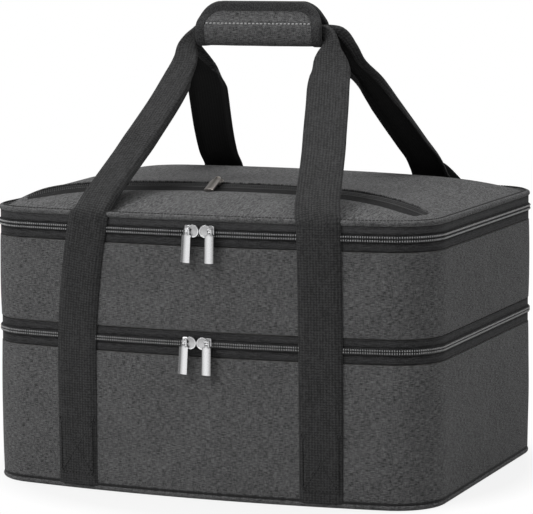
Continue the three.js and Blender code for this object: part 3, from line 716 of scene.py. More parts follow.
def tape(name):
    """Woven tape: hems at its edges and a pressed line beside the zip, both darkened by painted shade, a painted
    highlight along a fold between, and painted shade on the lid.
    """
    shade = colours().tape
    shader = Shader(name, 0.9, **{"Sheen Weight": 0.03, "Specular IOR Level": 0.25})
    u, v, _ = shader.cloth(1 / MM)
    _, _, z = shader.place(1 / MM)
    away = (z - TOP_ZIP / MM).size().maths("MINIMUM", (z - MID_ZIP / MM).size(), (z - TOP_ZIP / MM).size())
    # Painted shade darkens the tape at its edges, under the piping and the walls' folded hems, and along the
    # pressed line beside the zip; a painted highlight lightens the fold between
    hem_shade = (1 - (away - 10.4).size() * 1.4).kept() + (1 - (away - 3.6).size() * 1.2).kept()
    fold = (1 - (away - 6.6).size() * 0.7).kept()
    grain = shader.noise(u * 1.1, v * 1.3, 6.1, 2.0, rough=0.7)
    run = shader.noise(u * 0.15, v * 1.6, 2.7, 1.0)
    on_lid = (z - (LID_EDGE / MM + 2)).kept()
    above = (z - (TOP_ZIP / MM + 4)).kept()
    tone = (grain - 0.5) * 2.8 + (run - 0.5) * 1.6 + 0.42 + fold * 0.2 - hem_shade * 0.55
    # Painted shade: the tape on the lid, which faces the light from above, is darkened; above the top zip's chain
    # the tape is lighter
    tone = tone - on_lid * 0.75 + above * 0.26
    shader.paint(shader.mix(tone.kept(), rgba(shade, 0.25), rgba(shade, 1.9)))
    shader.bump(grain * 0.5 + run * 0.4 - hem_shade, 0.5, 0.3 * MM)
    return shader.material


def binding(name):
    """Ribbed tape: fine ribs across its run."""
    shade = colours().binding
    shader = Shader(name, 0.85, **{"Sheen Weight": 0.04, "Specular IOR Level": 0.3})
    u, v, _ = shader.cloth(1 / MM)
    rib = (u * (2 * math.pi / 0.9)).sine() * 0.5 + 0.5
    grain = shader.noise(u * 0.9, v * 1.2, 2.2, 3.0, rough=0.7)
    tone = ((grain - 0.5) * 5.0 + rib * 0.25 + 0.4).kept()
    shader.paint(shader.mix(tone, rgba(shade, 0.35), rgba(shade, 1.85)))
    shader.bump(rib * 0.6 + grain * 0.5, 0.6, 0.25 * MM)
    return shader.material


def webbing(name):
    """Flat webbing: ribs along its run crossed by fine picks, and painted shade on its inner side."""
    shade = colours().webbing
    shader = Shader(name, 0.8, **{"Sheen Weight": 0.02, "Specular IOR Level": 0.3})
    u, v, _ = shader.cloth(1 / MM)
    # Painted shade: the inner side is painted dark, standing in for the shadow that the webbing's inner faces lie
    # in
    inside = u > 500 * INNER_SIDE
    rib = (u * (2 * math.pi / 2.5)).sine()
    pick = (v * (2 * math.pi / 2.1)).sine()
    lattice = (rib + pick) * 0.25 + 0.5
    grain = shader.noise(u * 0.55, v * 0.75, 4.4, 3.0, rough=0.65)
    streak = shader.noise(u * 0.7, v * 0.06, 2.9, 1.0)
    wear = shader.noise(u * 0.05, v * 0.03, 8.8, 2.0)
    tone = (grain - 0.5) * 3.2 + (streak - 0.5) * 1.2 + lattice * 1.1 - 0.08 + (wear - 0.5) * 0.4
    shown = shader.mix(tone.kept(), rgba(shade, 0.45), rgba(shade, 1.6))
    shader.paint(shader.mix(inside, shown, rgba(shade, 0.32)))
    shader.bump(rib * pick * 0.5 + lattice + grain * 0.5, 0.6, 0.3 * MM)
    return shader.material


def grained(name, shade, roughness, scales, detail, grain, shares, bump=None, **settings):
    """One noise by place, between two shares of a shade, with bump as its strength and depth in millimetres
    or else a varying roughness."""
    shader = Shader(name, roughness, **settings)
    spot = [value * scale for value, scale in zip(shader.place(1 / MM), scales)]
    grains = shader.noise(*spot, detail, rough=grain)
    shader.paint(shader.mix(grains, rgba(shade, shares[0]), rgba(shade, shares[1])))
    if bump:
        shader.bump(grains, bump[0], bump[1] * MM)
    else:
        shader.rough(grains * 0.2 + (roughness - 0.1))
    return shader.material


def thread(name, shade):
    shader = Shader(name, 0.7, **{"Sheen Weight": 0.05})
    x, y, z = shader.place(1 / MM)
    twist = ((x + y + z) * 6.0).sine() * 0.5 + 0.5
    shader.paint(shader.mix(twist, rgba(shade, 0.75), rgba(shade, 1.2)))
    shader.bump(twist, 0.4, 0.1 * MM)
    return shader.material


def metal(name, shade, roughness):
    """Plated metal with fine polishing marks."""
    shader = Shader(name, roughness, Metallic=1.0)
    x, y, z = shader.place(1 / MM)
    marks = shader.noise(x * 0.8, y * 0.8, z * 4.0, 3.0)
    worn = shader.noise(x * 0.25, y * 0.25, z * 0.25, 2.0)
    shader.paint(shader.mix(worn, rgba(shade, 0.9), rgba(shade, 1.0)))
    shader.rough(marks * 0.12 + (roughness - 0.05))
    shader.bump(marks, 0.12, 0.05 * MM)
    return shader.material


def tab_metal(name):
    """Bright plating of a pull with a painted highlight: lightest where its cloth place across it is 0, with
    painted shade towards its edges.
    """
    shade = colours().steel
    shader = Shader(name, 0.28, Metallic=1.0)
    across, along, _ = shader.cloth(1.0)
    marks = shader.noise(across * 6.0, along * 20.0, 1.0, 3.0)
    # Painted reflection: the base colour is brightest at the highlight and darkens towards the tab's sides,
    # standing in for a crowned tab's lit middle and shaded edges
    edge = (across * across * 1.05 + marks * 0.06 - 0.05).kept()
    shader.paint(shader.mix(edge, rgba(shade, 1.05), rgba(shade, 0.22)))
    shader.rough(marks * 0.12 + 0.22)
    return shader.material


def foil(name):
    """Foil-faced lining with soft crinkles and a fine diamond emboss."""
    shade = colours().foil
    shader = Shader(name, 0.34, Metallic=0.85)
    u, v, _ = shader.cloth(1 / MM)
    crinkle = shader.noise(u * 0.11, v * 0.11, 1.0, 4.0, rough=0.65)
    folds = shader.noise(u * 0.035, v * 0.05, 6.0, 2.0)
    emboss = ((u + v) * 1.1).sine() * ((u - v) * 1.1).sine()
    shader.paint(shader.mix(folds, rgba(shade, 0.82), rgba(shade, 1.0)))
    shader.rough(crinkle * 0.25 + 0.22)
    shader.bump(crinkle * 1.0 + folds * 0.7 + emboss * 0.08, 0.55, 1.2 * MM)
    return shader.material


FINISHES = {
    "heather_cloth": lambda name: heather(name, 0.95, 5.0),
    "piping": lambda name: heather(name, 0.9, 4.8),
    "under_cloth": under_cloth,
    "zip_tape": tape,
    "webbing": webbing,
    "binding": binding,
    "foil_lining": foil,
    "zip_teeth": lambda name: grained(name, colours().teeth, 0.42, (0.3, 0.3, 0.3), 3.0, 0.5, (0.6, 1.4),
                                      **{"Specular IOR Level": 0.5}),
    "foam": lambda name: grained(name, colours().foam, 0.95, (0.9, 0.9, 0.9), 4.0, 0.7, (0.8, 1.02), (0.6, 0.4)),
    "stiff_board": lambda name: grained(name, colours().board, 0.6, (0.2, 1.5, 1), 3.0, 0.5, (0.85, 1.1),
                                        (0.3, 0.2)),
    "closure": lambda name: grained(name, colours().dark_thread, 0.95, (1.6, 1.6, 1.6), 4.0, 0.8, (0.5, 1.5),
                                    (0.9, 0.5), **{"Sheen Weight": 0.05}),
    "tab_metal": tab_metal,
    "bright_metal": lambda name: metal(name, colours().steel, 0.2),
    "slider_face": lambda name: metal(name, rgba(colours().steel, 0.75), 0.4),
    "nickel_metal": lambda name: metal(name, colours().nickel, 0.3),
    "light_thread": lambda name: thread(name, colours().thread),
    "zip_thread": lambda name: thread(name, colours().zip_thread),
    "pocket_thread": lambda name: thread(name, colours().pocket_thread),
    "dark_thread": lambda name: thread(name, colours().dark_thread),
}


def material(finish):
    return bpy.data.materials.get(f"{finish}_finish") or FINISHES[finish](finish)


# Pieces

def press(distance):
    """How much a strap holds the wall flat at a distance along the outline: 1 under a strap."""
    nearest = min(abs(distance - place) for place in STRAP_PLACES)
    return 1 - smooth((nearest - WEB / 2) / (22 * MM))


def puff(low, high):
    """The swell of a wall between two heights."""
    def bulge(distance, height):
        share = min(1.0, max(0.0, (height - low) / (high - low)))
        swell = math.sin(math.pi * share) ** 0.7
        point, _ = around(distance)
        ripple = noise.noise(Vector((point.x * 14, point.y * 14, height * 20)))
        return sizes().wall_puff * swell * (0.8 + 0.5 * ripple) * (1 - press(distance % PERIMETER))
    return bulge


class BuildWalls(bpy.types.Operator):
    """Outer cloth of both decks, swelling between the straps"""
    bl_idname = "carrier.walls"
    bl_label = "Walls"

    def execute(self, context):
        for name, node, body, low, high in (
            ("lower_wall_cloth", "lower_wall", "lower_deck", WALL_BOTTOM, MID_ZIP - BAND_HALF - GAP),
            ("upper_wall_cloth", "upper_wall", "upper_deck", MID_ZIP + BAND_HALF - GAP,
             TOP_ZIP - BAND_HALF - GAP),
        ):
            loop = rounded([(0, low), (0, high), (CLOTH, high), (CLOTH, low)], 0.55 * MM, 6 * MM)
            keep(swept(name, loop, bulge=puff(low, high)), "heather_cloth", body, node)
        return {"FINISHED"}


class BuildPiping(bpy.types.Operator):
    """Piping on the bottom edge and the lid's edge, with its seam"""
    bl_idname = "carrier.piping"
    bl_label = "Piping"

    def execute(self, context):
        radius = sizes().piping_diameter / 2
        for name, node, body, middle in (
            ("bottom_piping_cord", "bottom_piping", "lower_deck", 2.35 * MM),
            ("lid_piping_cord", "lid_piping", "lid", LID_EDGE),
        ):
            loop = [Vector((1.6 * MM - radius * math.cos(2 * math.pi * i / 14),
                            middle + radius * math.sin(2 * math.pi * i / 14))) for i in range(14)]
            keep(swept(name, loop), "piping", body, node)
        frames = level_frames(3.1 * MM, LID_EDGE + radius - 0.1 * MM, 3.0 * MM, 0, PERIMETER)
        keep(stitches("lid_seam_stitches", frames), "dark_thread", "lid")
        return {"FINISHED"}


class BuildBottom(bpy.types.Operator):
    """Bottom panel and the layers that stiffen the floor"""
    bl_idname = "carrier.bottom"
    bl_label = "Bottom"

    def execute(self, context):
        cloth = layer("bottom_cloth", LAYER_RINGS, 3.9 * MM, 0.5 * MM, (0.0, 0.6 * MM, 1.2 * MM))
        keep(cloth, "under_cloth", "lower_deck", "bottom_panel")
        pad = layer("base_foam_pad", LAYER_RINGS, 7 * MM, 0.3 * MM, (3.8 * MM, 5.8 * MM, 7.7 * MM))
        keep(pad, "foam", "lower_deck", "base_foam")
        return {"FINISHED"}


class BuildZips(bpy.types.Operator):
    """Tapes, teeth and sewing of the two deck zips"""
    bl_idname = "carrier.zips"
    bl_label = "Zips"

    def execute(self, context):
        start, end = ZIP_END, PERIMETER - ZIP_END
        for zip_name, split, under, over, top in (
            ("mid", MID_ZIP, "lower_deck", "upper_deck", MID_ZIP + BAND_HALF - 0.6 * MM),
            ("top", TOP_ZIP, "upper_deck", "lid", LID_EDGE - 2.2 * MM),
        ):
            for side, place, body in ((-1, "lower", under), (1, "upper", over)):
                rim = split + side * 0.15 * MM
                edge = split - BAND_HALF if side < 0 else top
                loop = rounded([(TAPE_OUT, rim), (TAPE_IN, rim), (TAPE_IN, edge), (TAPE_OUT, edge)],
                               0.3 * MM, 4 * MM, 2)
                keep(swept(f"{zip_name}_tape_{place}_cloth", loop, start, end), "zip_tape", body,
                     f"{zip_name}_tape_{place}")
                middle = rim + side * CHAIN_HEIGHT / 2
                frames = level_frames(-COIL_OUT, middle, sizes().tooth_pitch, start, end)
                keep(repeated(f"{zip_name}_coil_{place}", tooth_unit(), frames), "zip_teeth", body,
                     f"{zip_name}_teeth_{place}")
                sewn = level_frames(-SEWING_OUT, split + side * SEWING[zip_name], sizes().dot_pitch, start, end)
                small = Matrix.Diagonal((0.3, 1.0, 1, 1))
                keep(stitches(f"{zip_name}_tape_stitches_{place}", [m @ small for m in sewn]),
                     "light_thread" if zip_name == "mid" else "zip_thread", body)
        return {"FINISHED"}


class BuildFoldStrips(bpy.types.Operator):
    """Cloth across the rear face that the decks and the lid fold on"""
    bl_idname = "carrier.fold_strips"
    bl_label = "Fold strips"

    def execute(self, context):
        for name, low, high, split, bodies in (
            ("mid_fold", MID_ZIP - BAND_HALF, MID_ZIP + BAND_HALF - 0.6 * MM, MID_ZIP,
             ("lower_deck", "upper_deck")),
            ("top_fold", TOP_ZIP - BAND_HALF, LID_EDGE - 2.2 * MM, TOP_ZIP, ("upper_deck", "lid")),
        ):
            loop = rounded([(0, low), (0, high), (CLOTH, high), (CLOTH, low)], 0.5 * MM, 1.2 * MM)
            end = ZIP_END - 0.5 * MM
            piece = swept(f"{name}_cloth", loop, -end, end, 120)
            crossing = (*bodies, (0, HINGE_Y, split - 5 * MM), (0, HINGE_Y, split + 5 * MM))
            keep(piece, "heather_cloth", crossing, f"{name}_strip")
        return {"FINISHED"}


def lid_front(x):
    return -edge_y(x, DOME_INSET)


def lid_rear(x):
    return edge_y(x, DOME_INSET)


def pocket_arc(radius):
    return lambda x: POCKET_CENTRE + math.sqrt(radius ** 2 - x ** 2)


def cover_front(x):
    return max(pocket_arc(RIM_OUT)(x), lid_front(x))


def lowered(drop):
    return lambda x, y: crown(x, y) - drop


def lid_cloth(name, columns, rows, place, flat, *modifiers):
    """A sheet on the lid, facing upwards and thickened downwards."""
    piece = tidy(placed_grid(name, columns, rows, place, flat))
    if piece.data.polygons[len(piece.data.polygons) // 2].normal.z < 0:
        edit(piece, (bpy.ops.mesh.flip_normals, {}))
    return shaded(applied(piece, *modifiers))


def lid_sheet(name, low, high, reach, columns, rows):
    """A piece of the lid's surface between two lines, given as Y for each X."""
    def spot(u, v):
        x = reach * math.sin((u - 0.5) * math.pi)
        near, far = low(x), max(low(x), high(x))
        return x, near + (far - near) * v

    def place(u, v):
        x, y = spot(u, v)
        return x, y, crown(x, y)

    return lid_cloth(name, columns, rows, place, spot, thickened(CLOTH), edges_rounded(0.5 * MM, 60))


def crossing_x(radius):
    """Where an arc about the pocket's centre meets the lid's front edge."""
    low, high = CORNER_X, BODY_WIDTH / 2 - DOME_INSET
    for _ in range(40):
        middle = (low + high) / 2
        if pocket_arc(radius)(middle) > lid_front(middle):
            low = middle
        else:
            high = middle
    return low


def patch_turn(radius):
    """The angle at which an arc about the pocket's centre leaves the lid."""
    return math.asin(crossing_x(radius) / radius)


def arc_point(radius, turn):
    return radius * math.sin(turn), POCKET_CENTRE + radius * math.cos(turn)


def sector(name, turn_from, turn_to, inner, outer, columns, rows, drop=0.0, thickness=CLOTH):
    """A piece of the pocket's band: the turns are functions of the radius."""
    def spot(u, v):
        radius = inner + (outer - inner) * v
        start, end = turn_from(radius), turn_to(radius)
        return radius, start + (end - start) * u

    def place(u, v):
        x, y = arc_point(*spot(u, v))
        return x, y, crown(x, y) - drop

    def flat(u, v):
        radius, turn = spot(u, v)
        return turn * POCKET_RADIUS, radius

    return lid_cloth(name, columns, rows, place, flat, thickened(thickness))


def lid_frame(radius, turn, lift=0.0):
    """A frame on the lid along the pocket's arc."""
    def at(r, t):
        x, y = arc_point(r, t)
        return Vector((x, y, crown(x, y)))
    step = 0.4 * MM
    here = at(radius, turn)
    along = at(radius, turn + step / radius) - at(radius, turn - step / radius)
    across = at(radius + step, turn) - at(radius - step, turn)
    out = along.cross(across)
    if out.z < 0:
        out = -out
    return pose(here + out.normalized() * lift, along, out)


class BuildLid(bpy.types.Operator):
    """The lid's cover, its pocket panel, zip band, end patches and inner layers"""
    bl_idname = "carrier.lid"
    bl_label = "Lid"

    def execute(self, context):
        hair = 0.02 * MM
        cover = lid_sheet("lid_cover_cloth", cover_front, lid_rear, BODY_WIDTH / 2 - DOME_INSET - hair, 120, 84)
        keep(cover, "heather_cloth", "lid", "lid_cover")
        panel = lid_sheet("pocket_panel_cloth", lid_front, pocket_arc(RIM_IN), crossing_x(RIM_IN) - hair, 120, 36)
        keep(panel, "heather_cloth", "lid", "pocket_panel")
        band = sector("pocket_tape_cloth", lambda r: -POCKET_ZIP_TURN, lambda r: POCKET_ZIP_TURN,
                      RIM_IN + GAP, RIM_OUT - GAP, 120, 8, 0.2 * MM, 0.8 * MM)
        keep(band, "zip_tape", "lid", "pocket_tape")
        for side, name in ((-1, "left"), (1, "right")):
            patch = sector(f"pocket_end_{name}_cloth", lambda r: side * POCKET_ZIP_TURN,
                           lambda r: side * patch_turn(r), RIM_IN, RIM_OUT, 24, 8, -0.1 * MM)
            keep(patch, "heather_cloth", "lid", f"pocket_end_{name}")
        self.teeth()
        self.layers()
        return {"FINISHED"}

    def teeth(self):
        """The pocket's two rows of coil and the sewing beside them"""
        frames = []
        count = int(2 * POCKET_ZIP_TURN * POCKET_CHAIN_RADIUS / sizes().tooth_pitch)
        turns = [-POCKET_ZIP_TURN + 2 * POCKET_ZIP_TURN * (i + 0.5) / count for i in range(count)]
        for row in (-1, 1):
            frames += [lid_frame(POCKET_CHAIN_RADIUS + row * 1.3 * MM, turn, 0.25 * MM) for turn in turns]
        keep(repeated("pocket_coil", tooth_unit(), frames), "zip_teeth", "lid", "pocket_teeth")
        small = Matrix.Diagonal((0.5, 1.15, 1, 1))
        sewn = [lid_frame(POCKET_CHAIN_RADIUS + row * SEWING["pocket"], turn, -0.1 * MM) @ small
                for row in (-1, 1) for turn in turns]
        keep(stitches("pocket_tape_stitches", sewn), "pocket_thread", "lid")

    def layers(self):
        """Lining, foam and foil under the cover"""
        for name, finish, node, inset, top, thick, wobble in (
            ("pocket_back_cloth", "under_cloth", "pocket_lining", DOME_INSET, 1.9, 0.7, 0),
            ("lid_foam_pad", "foam", "lid_foam", 2.2 * MM, 3.1, 5.8, 0),
            ("lid_foil", "foil_lining", "lid_liner", 2.2 * MM, 9.2, 0.8, 0.5 * MM),
        ):
            heights = [lowered(drop * MM) for drop in (top, top + thick / 2, top + thick)]
            keep(layer(name, LID_RINGS, inset + 0.5 * MM, 0.5 * MM, heights, wobble), finish, "lid", node)


class BuildLinings(bpy.types.Operator):
    """Foam, foil tubs and the floor between the decks"""
    bl_idname = "carrier.linings"
    bl_label = "Linings"

    def execute(self, context):
        for deck, body, foam_low, floor, rim in (
            ("lower", "lower_deck", 4.6 * MM, 8.3 * MM, MID_ZIP - 0.15 * MM),
            ("upper", "upper_deck", 138 * MM, 138 * MM, TOP_ZIP - 0.15 * MM),
        ):
            loop = rounded([(FOAM_OUT, foam_low), (FOAM_OUT, rim - 1.2 * MM), (FOAM_IN, rim - 1.2 * MM),
                            (FOAM_IN, foam_low)], 1 * MM, 12 * MM)
            keep(swept(f"{deck}_foam_ring", loop), "foam", body, f"{deck}_foam")
            rows = [(s, LINING_IN + 1.5 * MM, floor) for s in (0, 0.2, 0.4, 0.6, 0.8, 0.93, 0.99)]
            rows += [(1, LINING_IN + 1.0 * MM, floor + 0.5 * MM), (1, LINING_IN + 0.2 * MM, floor + 1.8 * MM)]
            steps, low, tall = 14, floor + 4 * MM, rim - floor - 8 * MM
            rows += [(1, LINING_IN, low + tall * i / steps) for i in range(steps + 1)]
            rows += [(1, LINING_IN - 0.4 * MM, rim - 0.9 * MM), (1, LINING_IN - 1.4 * MM, rim - 0.2 * MM),
                     (1, 4 * MM, rim), (1, 2.2 * MM, rim - 0.2 * MM), (1, 1.6 * MM, rim - 0.9 * MM),
                     (1, 1.5 * MM, rim - 2.5 * MM)]
            tub = ringed(f"{deck}_foil_tub", rows, wobble=0.4 * MM)
            keep(applied(tub, thickened(0.3 * MM, 1.0)), "foil_lining", body, f"{deck}_liner")
        for name, finish, node, low, high in (
            ("divider_pad", "foam", "divider_foam_board", 131.6, 137.5),
            ("divider_underside", "foil_lining", "divider_lining", 130.5, 131.25),
        ):
            heights = (low * MM, (low + high) / 2 * MM, high * MM)
            keep(layer(name, LAYER_RINGS, 2 * MM, 0.4 * MM, heights), finish, "upper_deck", node)
        return {"FINISHED"}


# Webbing

def leg_stations(side, start, loose, rows, left):
    """Stations of one leg from its sewn end up to the wrap: place, width, thickness and turn."""
    top_x, top_z = rows[0][0] * MM, rows[0][2] * MM
    lean = LEANS[side][0 if left else 1]

    def plain(out, z):
        share = (z - LID_EDGE) / (top_z - LID_EDGE)
        x = STRAP_X - lean + (top_x - STRAP_X + lean) * share
        if z < LID_EDGE:
            x = STRAP_X - lean * (max(0.0, z - loose) / (LID_EDGE - loose)) ** 2
        narrowing = z - LID_EDGE - (12 * MM if side > 0 else 0)
        width = WEB + (rows[0][3] * MM - WEB) * smooth(narrowing / (8 * MM))
        return [x, abs(face_y(x, 0, side)) + STRAP_OUT + out, z, width, WEB_THICK, 0]

    heights = [start + (loose - start) * i / 4 for i in range(5)]
    stations = [plain(LOOSE_OUT * 0.8 * smooth((z - start) / (loose - start)), z) for z in heights]
    # At the rear there is only the first, 5 mm above the lid's edge. The next station is lower, so the webbing
    # doubles back and twists into a knot there
    loose_heights = np.linspace(loose + 12 * MM, LID_EDGE - 8 * MM, 6 if side < 0 else 1)
    stations += [plain(LOOSE_OUT, z) for z in loose_heights]
    stations += [plain(out * MM, LID_EDGE + up * MM) for out, up in EDGE_BEND]
    stations += [[x * MM, y * MM, z * MM, w * MM, t * MM, turn] for x, y, z, w, t, turn in rows]
    for s in stations:
        s[1] *= side
        if left:
            s[0] = -s[0]
        else:
            s[5] = 180 - s[5]
    return stations if left else stations[::-1]


def spline(values, parameter, at):
    """A smooth curve through rows of values (Catmull-Rom), at a parameter."""
    i = min(len(values) - 2, max(0, int(np.searchsorted(parameter, at, side="right")) - 1))
    a, b = values[max(0, i - 1)], values[i]
    c, d = values[i + 1], values[min(len(values) - 1, i + 2)]
    ta, tb = parameter[max(0, i - 1)], parameter[i]
    tc, td = parameter[i + 1], parameter[min(len(values) - 1, i + 2)]
    span = tc - tb
    t = (at - tb) / span
    out_slope = (c - a) / max(TINY, tc - ta) * span
    in_slope = (d - b) / max(TINY, td - tb) * span
    return ((2 * t ** 3 - 3 * t ** 2 + 1) * b + (t ** 3 - 2 * t ** 2 + t) * out_slope
            + (-2 * t ** 3 + 3 * t ** 2) * c + (t ** 3 - t ** 2) * in_slope)


# Added to the cloth place of the webbing's inner side, so that its material can paint shade on that side
INNER_SIDE = 1.0
# Half a section of webbing: a flat middle, a crease and the flank beyond it
FLAT_RUN, CREASE_RUN = 11 * MM, 4 * MM
FULL_FOLD = math.radians(176)
FLAT_STEPS, CREASE_STEPS, FLANK_STEPS = 5, 6, 4
SECTION_POINTS = 2 * (2 * (FLAT_STEPS + CREASE_STEPS + FLANK_STEPS) + 1)


def folded_section(width, thickness, behind):
    """A closed section of webbing whose edges fold behind it to fit a width: across, through, and place
    along its own width."""
    flat = FLAT_RUN
    flank = WEB / 2 - flat - CREASE_RUN

    def reach(turn):
        """Half the width that a fold of a turn leaves."""
        radius = CREASE_RUN / turn
        if turn > QUARTER:
            return flat + radius + thickness / 2
        return flat + (radius + thickness / 2) * math.sin(turn) + flank * math.cos(turn)

    low, high = TINY, FULL_FOLD
    for _ in range(30):
        fold = (low + high) / 2
        low, high = (fold, high) if reach(fold) > width / 2 else (low, fold)
    if width / 2 < reach(FULL_FOLD):
        flat = width / 2 - CREASE_RUN / FULL_FOLD - thickness / 2
        flank = min(WEB / 2 - flat - CREASE_RUN, flat - 0.5 * MM)
    here, angle, place = Vector((0, 0)), 0.0, 0.0
    half = [(here, 0.0, 0.0)]
    for steps, run, turn in ((FLAT_STEPS, flat, 0), (CREASE_STEPS, CREASE_RUN, fold), (FLANK_STEPS, flank, 0)):
        for _ in range(steps):
            middle = angle + turn / steps / 2
            here = here + Vector((math.cos(middle), math.sin(middle))) * run / steps
            angle += turn / steps
            place += run / steps
            half.append((here, angle, place))
    line = [(Vector((-p.x, p.y)), -a, -w) for p, a, w in reversed(half[1:])] + half
    outer, inner = [], []
    for i, (p, a, w) in enumerate(line):
        normal = Vector((-math.sin(a), math.cos(a)))
        edge = 0.5 if i in (0, len(line) - 1) else 1.0
        outer.append((p - normal * thickness / 2 * edge, w))
        inner.append((p + normal * thickness / 2 * edge, w + INNER_SIDE))
    return [(p.x, p.y * behind, w) for p, w in outer + inner[::-1]]


def webbing_strip(name, stations, side, rows):
    """Webbing along stations, folded where it narrows."""
    values = np.array(stations, dtype=float)
    steps = np.linalg.norm(np.diff(values[:, :3], axis=0), axis=1)
    along = np.concatenate([[0], np.cumsum(steps)])
    points = SECTION_POINTS
    sections = []
    for row in range(rows + 1):
        at = along[-1] * row / rows
        value = spline(values, along, at)
        before = spline(values, along, max(0, at - 1 * MM))
        after = spline(values, along, min(along[-1], at + 1 * MM))
        direction = Vector(after[:3] - before[:3]).normalized()
        turn = math.radians(value[5])
        upper = min(1.0, max(0.0, (value[2] - LID_EDGE) / (GRIP_Z - LID_EDGE)))
        bow = side * STRAP_X / BOW_RADIUS * (1 - upper)
        across = Vector((math.cos(turn), abs(math.cos(turn)) * bow, -math.sin(turn)))
        across = (across - direction * across.dot(direction)).normalized()
        normal = direction.cross(across).normalized()
        width = min(WEB, max(12 * MM, value[3]))
        spots = folded_section(width, sizes().webbing, -side)
        origin = Vector(value[:3])
        sections.append(([origin + across * a + normal * n for a, n, _ in spots],
                         [place for _, _, place in spots], at))

    def place(u, v):
        return sections[round(v * rows)][0][round(u * points) % points]

    def flat(u, v):
        _, places, at = sections[round(v * rows)]
        return places[round(u * points) % points], at

    return shaded(tidy(placed_grid(name, points, rows, place, flat), *END_CAPS))


def handle(name, side, start, loose, left_rows, right_rows, rows):
    """A handle's webbing: up one leg, through the wrap and down the other."""
    inside = WRAP_HALF - GAP
    grips = [[x, side * GRIP_Y, GRIP_Z, 12 * MM, 5.7 * MM, 90]
             for x in (WRAP_SHIFT - inside, WRAP_SHIFT, WRAP_SHIFT + inside)]
    stations = leg_stations(side, start, loose, left_rows, True) + grips
    stations += leg_stations(side, start, loose, right_rows, False)
    return webbing_strip(name, stations, side, rows)


def strap_point(side, end, along, z, out):
    x = end * STRAP_X + along
    return Vector((x, face_y(x, -out, side), z))


class BuildStraps(bpy.types.Operator):
    """Webbing: the sewn straps and both handles, with their stitching"""
    bl_idname = "carrier.straps"
    bl_label = "Straps and handles"

    def execute(self, context):
        front = handle("front_handle_webbing", -1, WALL_BOTTOM, 100 * MM, FRONT_LEFT_LEG, FRONT_RIGHT_LEG, 420)
        hold = ("lower_deck", "front_handle_body", (0, -0.1695, 0.0645), (0, -0.1695, 0.088))
        keep(front, "webbing", hold, "front_handle", "front_strap_end_left", "front_strap_end_right")
        rear = handle("rear_handle_webbing", 1, TOP_ZIP, TOP_ZIP + BAND_HALF / 2,
                      REAR_LEFT_LEG, REAR_RIGHT_LEG, 320)
        hold = ("upper_deck", "rear_handle_body", (0, HINGE_Y, TOP_ZIP), (0, HINGE_Y, TOP_ZIP + 14 * MM))
        keep(rear, "webbing", hold, "rear_handle")
        for end, name in ((-1, "left"), (1, "right")):
            low, high = WALL_BOTTOM, TOP_ZIP - 0.1 * MM
            stations = []
            for i in range(24):
                z = low + (high - low) * i / 23
                point = strap_point(1, end, 0, z, STRAP_OUT)
                stations.append([point.x, point.y, z, WEB, WEB_THICK, 0])
            strap = webbing_strip(f"rear_strap_{name}", stations, 1, 90)
            hold = ("lower_deck", "upper_deck", (0, HINGE_Y, MID_ZIP - 6 * MM), (0, HINGE_Y, MID_ZIP + 6 * MM))
            keep(strap, "webbing", hold, f"rear_strap_end_{name}", f"rear_strap_run_{name}")
        self.sewing()
        return {"FINISHED"}

    def sewing(self):
        """Crossed box and zigzag seams on the sewn ends"""
        low, high, half = 14 * MM, STITCHED - 2 * MM, WEB / 2 - 4 * MM
        corners = [(-half, low), (half, low), (half, high), (-half, high)]
        lines = [(corners[i], corners[(i + 1) % 4]) for i in range(4)]
        lines += [(corners[0], corners[2]), (corners[1], corners[3])]
        teeth = [(-WEB / 2 + 1.5 * MM + i * 2.3 * MM, STITCHED + (1.4 * MM if i % 2 else -1.4 * MM))
                 for i in range(17)]
        lines += list(zip(teeth, teeth[1:]))
        out, hint = 2.6 * MM, 0.01
        for side, face in ((-1, "front"), (1, "rear")):
            frames = []
            for end in (-1, 1):
                for a, b in lines:
                    count = max(1, round(math.dist(a, b) / (3.0 * MM)))
                    for k in range(count):
                        t = (k + 0.5) / count
                        x, z = (a[i] + (b[i] - a[i]) * t for i in (0, 1))
                        here = strap_point(side, end, x, z, out)
                        ahead = strap_point(side, end, x + (b[0] - a[0]) * hint, z + (b[1] - a[1]) * hint, out)
                        frames.append(pose(here, ahead - here, (0, side, 0)))
            keep(stitches(f"{face}_strap_stitches", frames), "dark_thread", "lower_deck")


# Grip wrap

class WrapSide:
    """The outer face of one half of the wrap: a run from its bottom seam to its top edge."""

    def __init__(self, side, start):
        corners = [Vector((start, 0))] + [Vector(p) for p in WRAP_LINE]
        for _ in range(3):
            cut = [corners[0]]
            for a, b in zip(corners, corners[1:]):
                cut += [a * 0.75 + b * 0.25, a * 0.25 + b * 0.75]
            corners = cut + [corners[-1]]
        self.side = side
        self.points = [p * MM for p in corners]
        self.along = [0.0]
        for a, b in zip(self.points, self.points[1:]):
            self.along.append(self.along[-1] + (b - a).length)
        self.top = self.along[-1]

    def spot(self, x, run, lift=0.0):
        run = min(self.top, max(0.0, run))
        i = min(len(self.points) - 2, max(0, int(np.searchsorted(self.along, run, side="right")) - 1))
        a, b = self.points[i], self.points[i + 1]
        t = (run - self.along[i]) / max(TINY, self.along[i + 1] - self.along[i])
        here = a + (b - a) * t
        ahead = self.points[min(len(self.points) - 1, i + 2)] - self.points[max(0, i - 1)]
        normal = Vector((ahead.y, -ahead.x)).normalized()
        here = here + normal * lift
        return Vector((WRAP_SHIFT + x, self.side * here.x, WRAP_LOW + here.y))


def wrap_reach(run, top, inset):
    """Half the wrap's length at a place between its seam and its top edge, inside a rounded corner."""
    radius = WRAP_CORNER - inset
    past = run - (top - WRAP_CORNER)
    if past <= 0:
        return WRAP_HALF - inset
    return WRAP_HALF - WRAP_CORNER + math.sqrt(max(0.0, radius ** 2 - past ** 2))


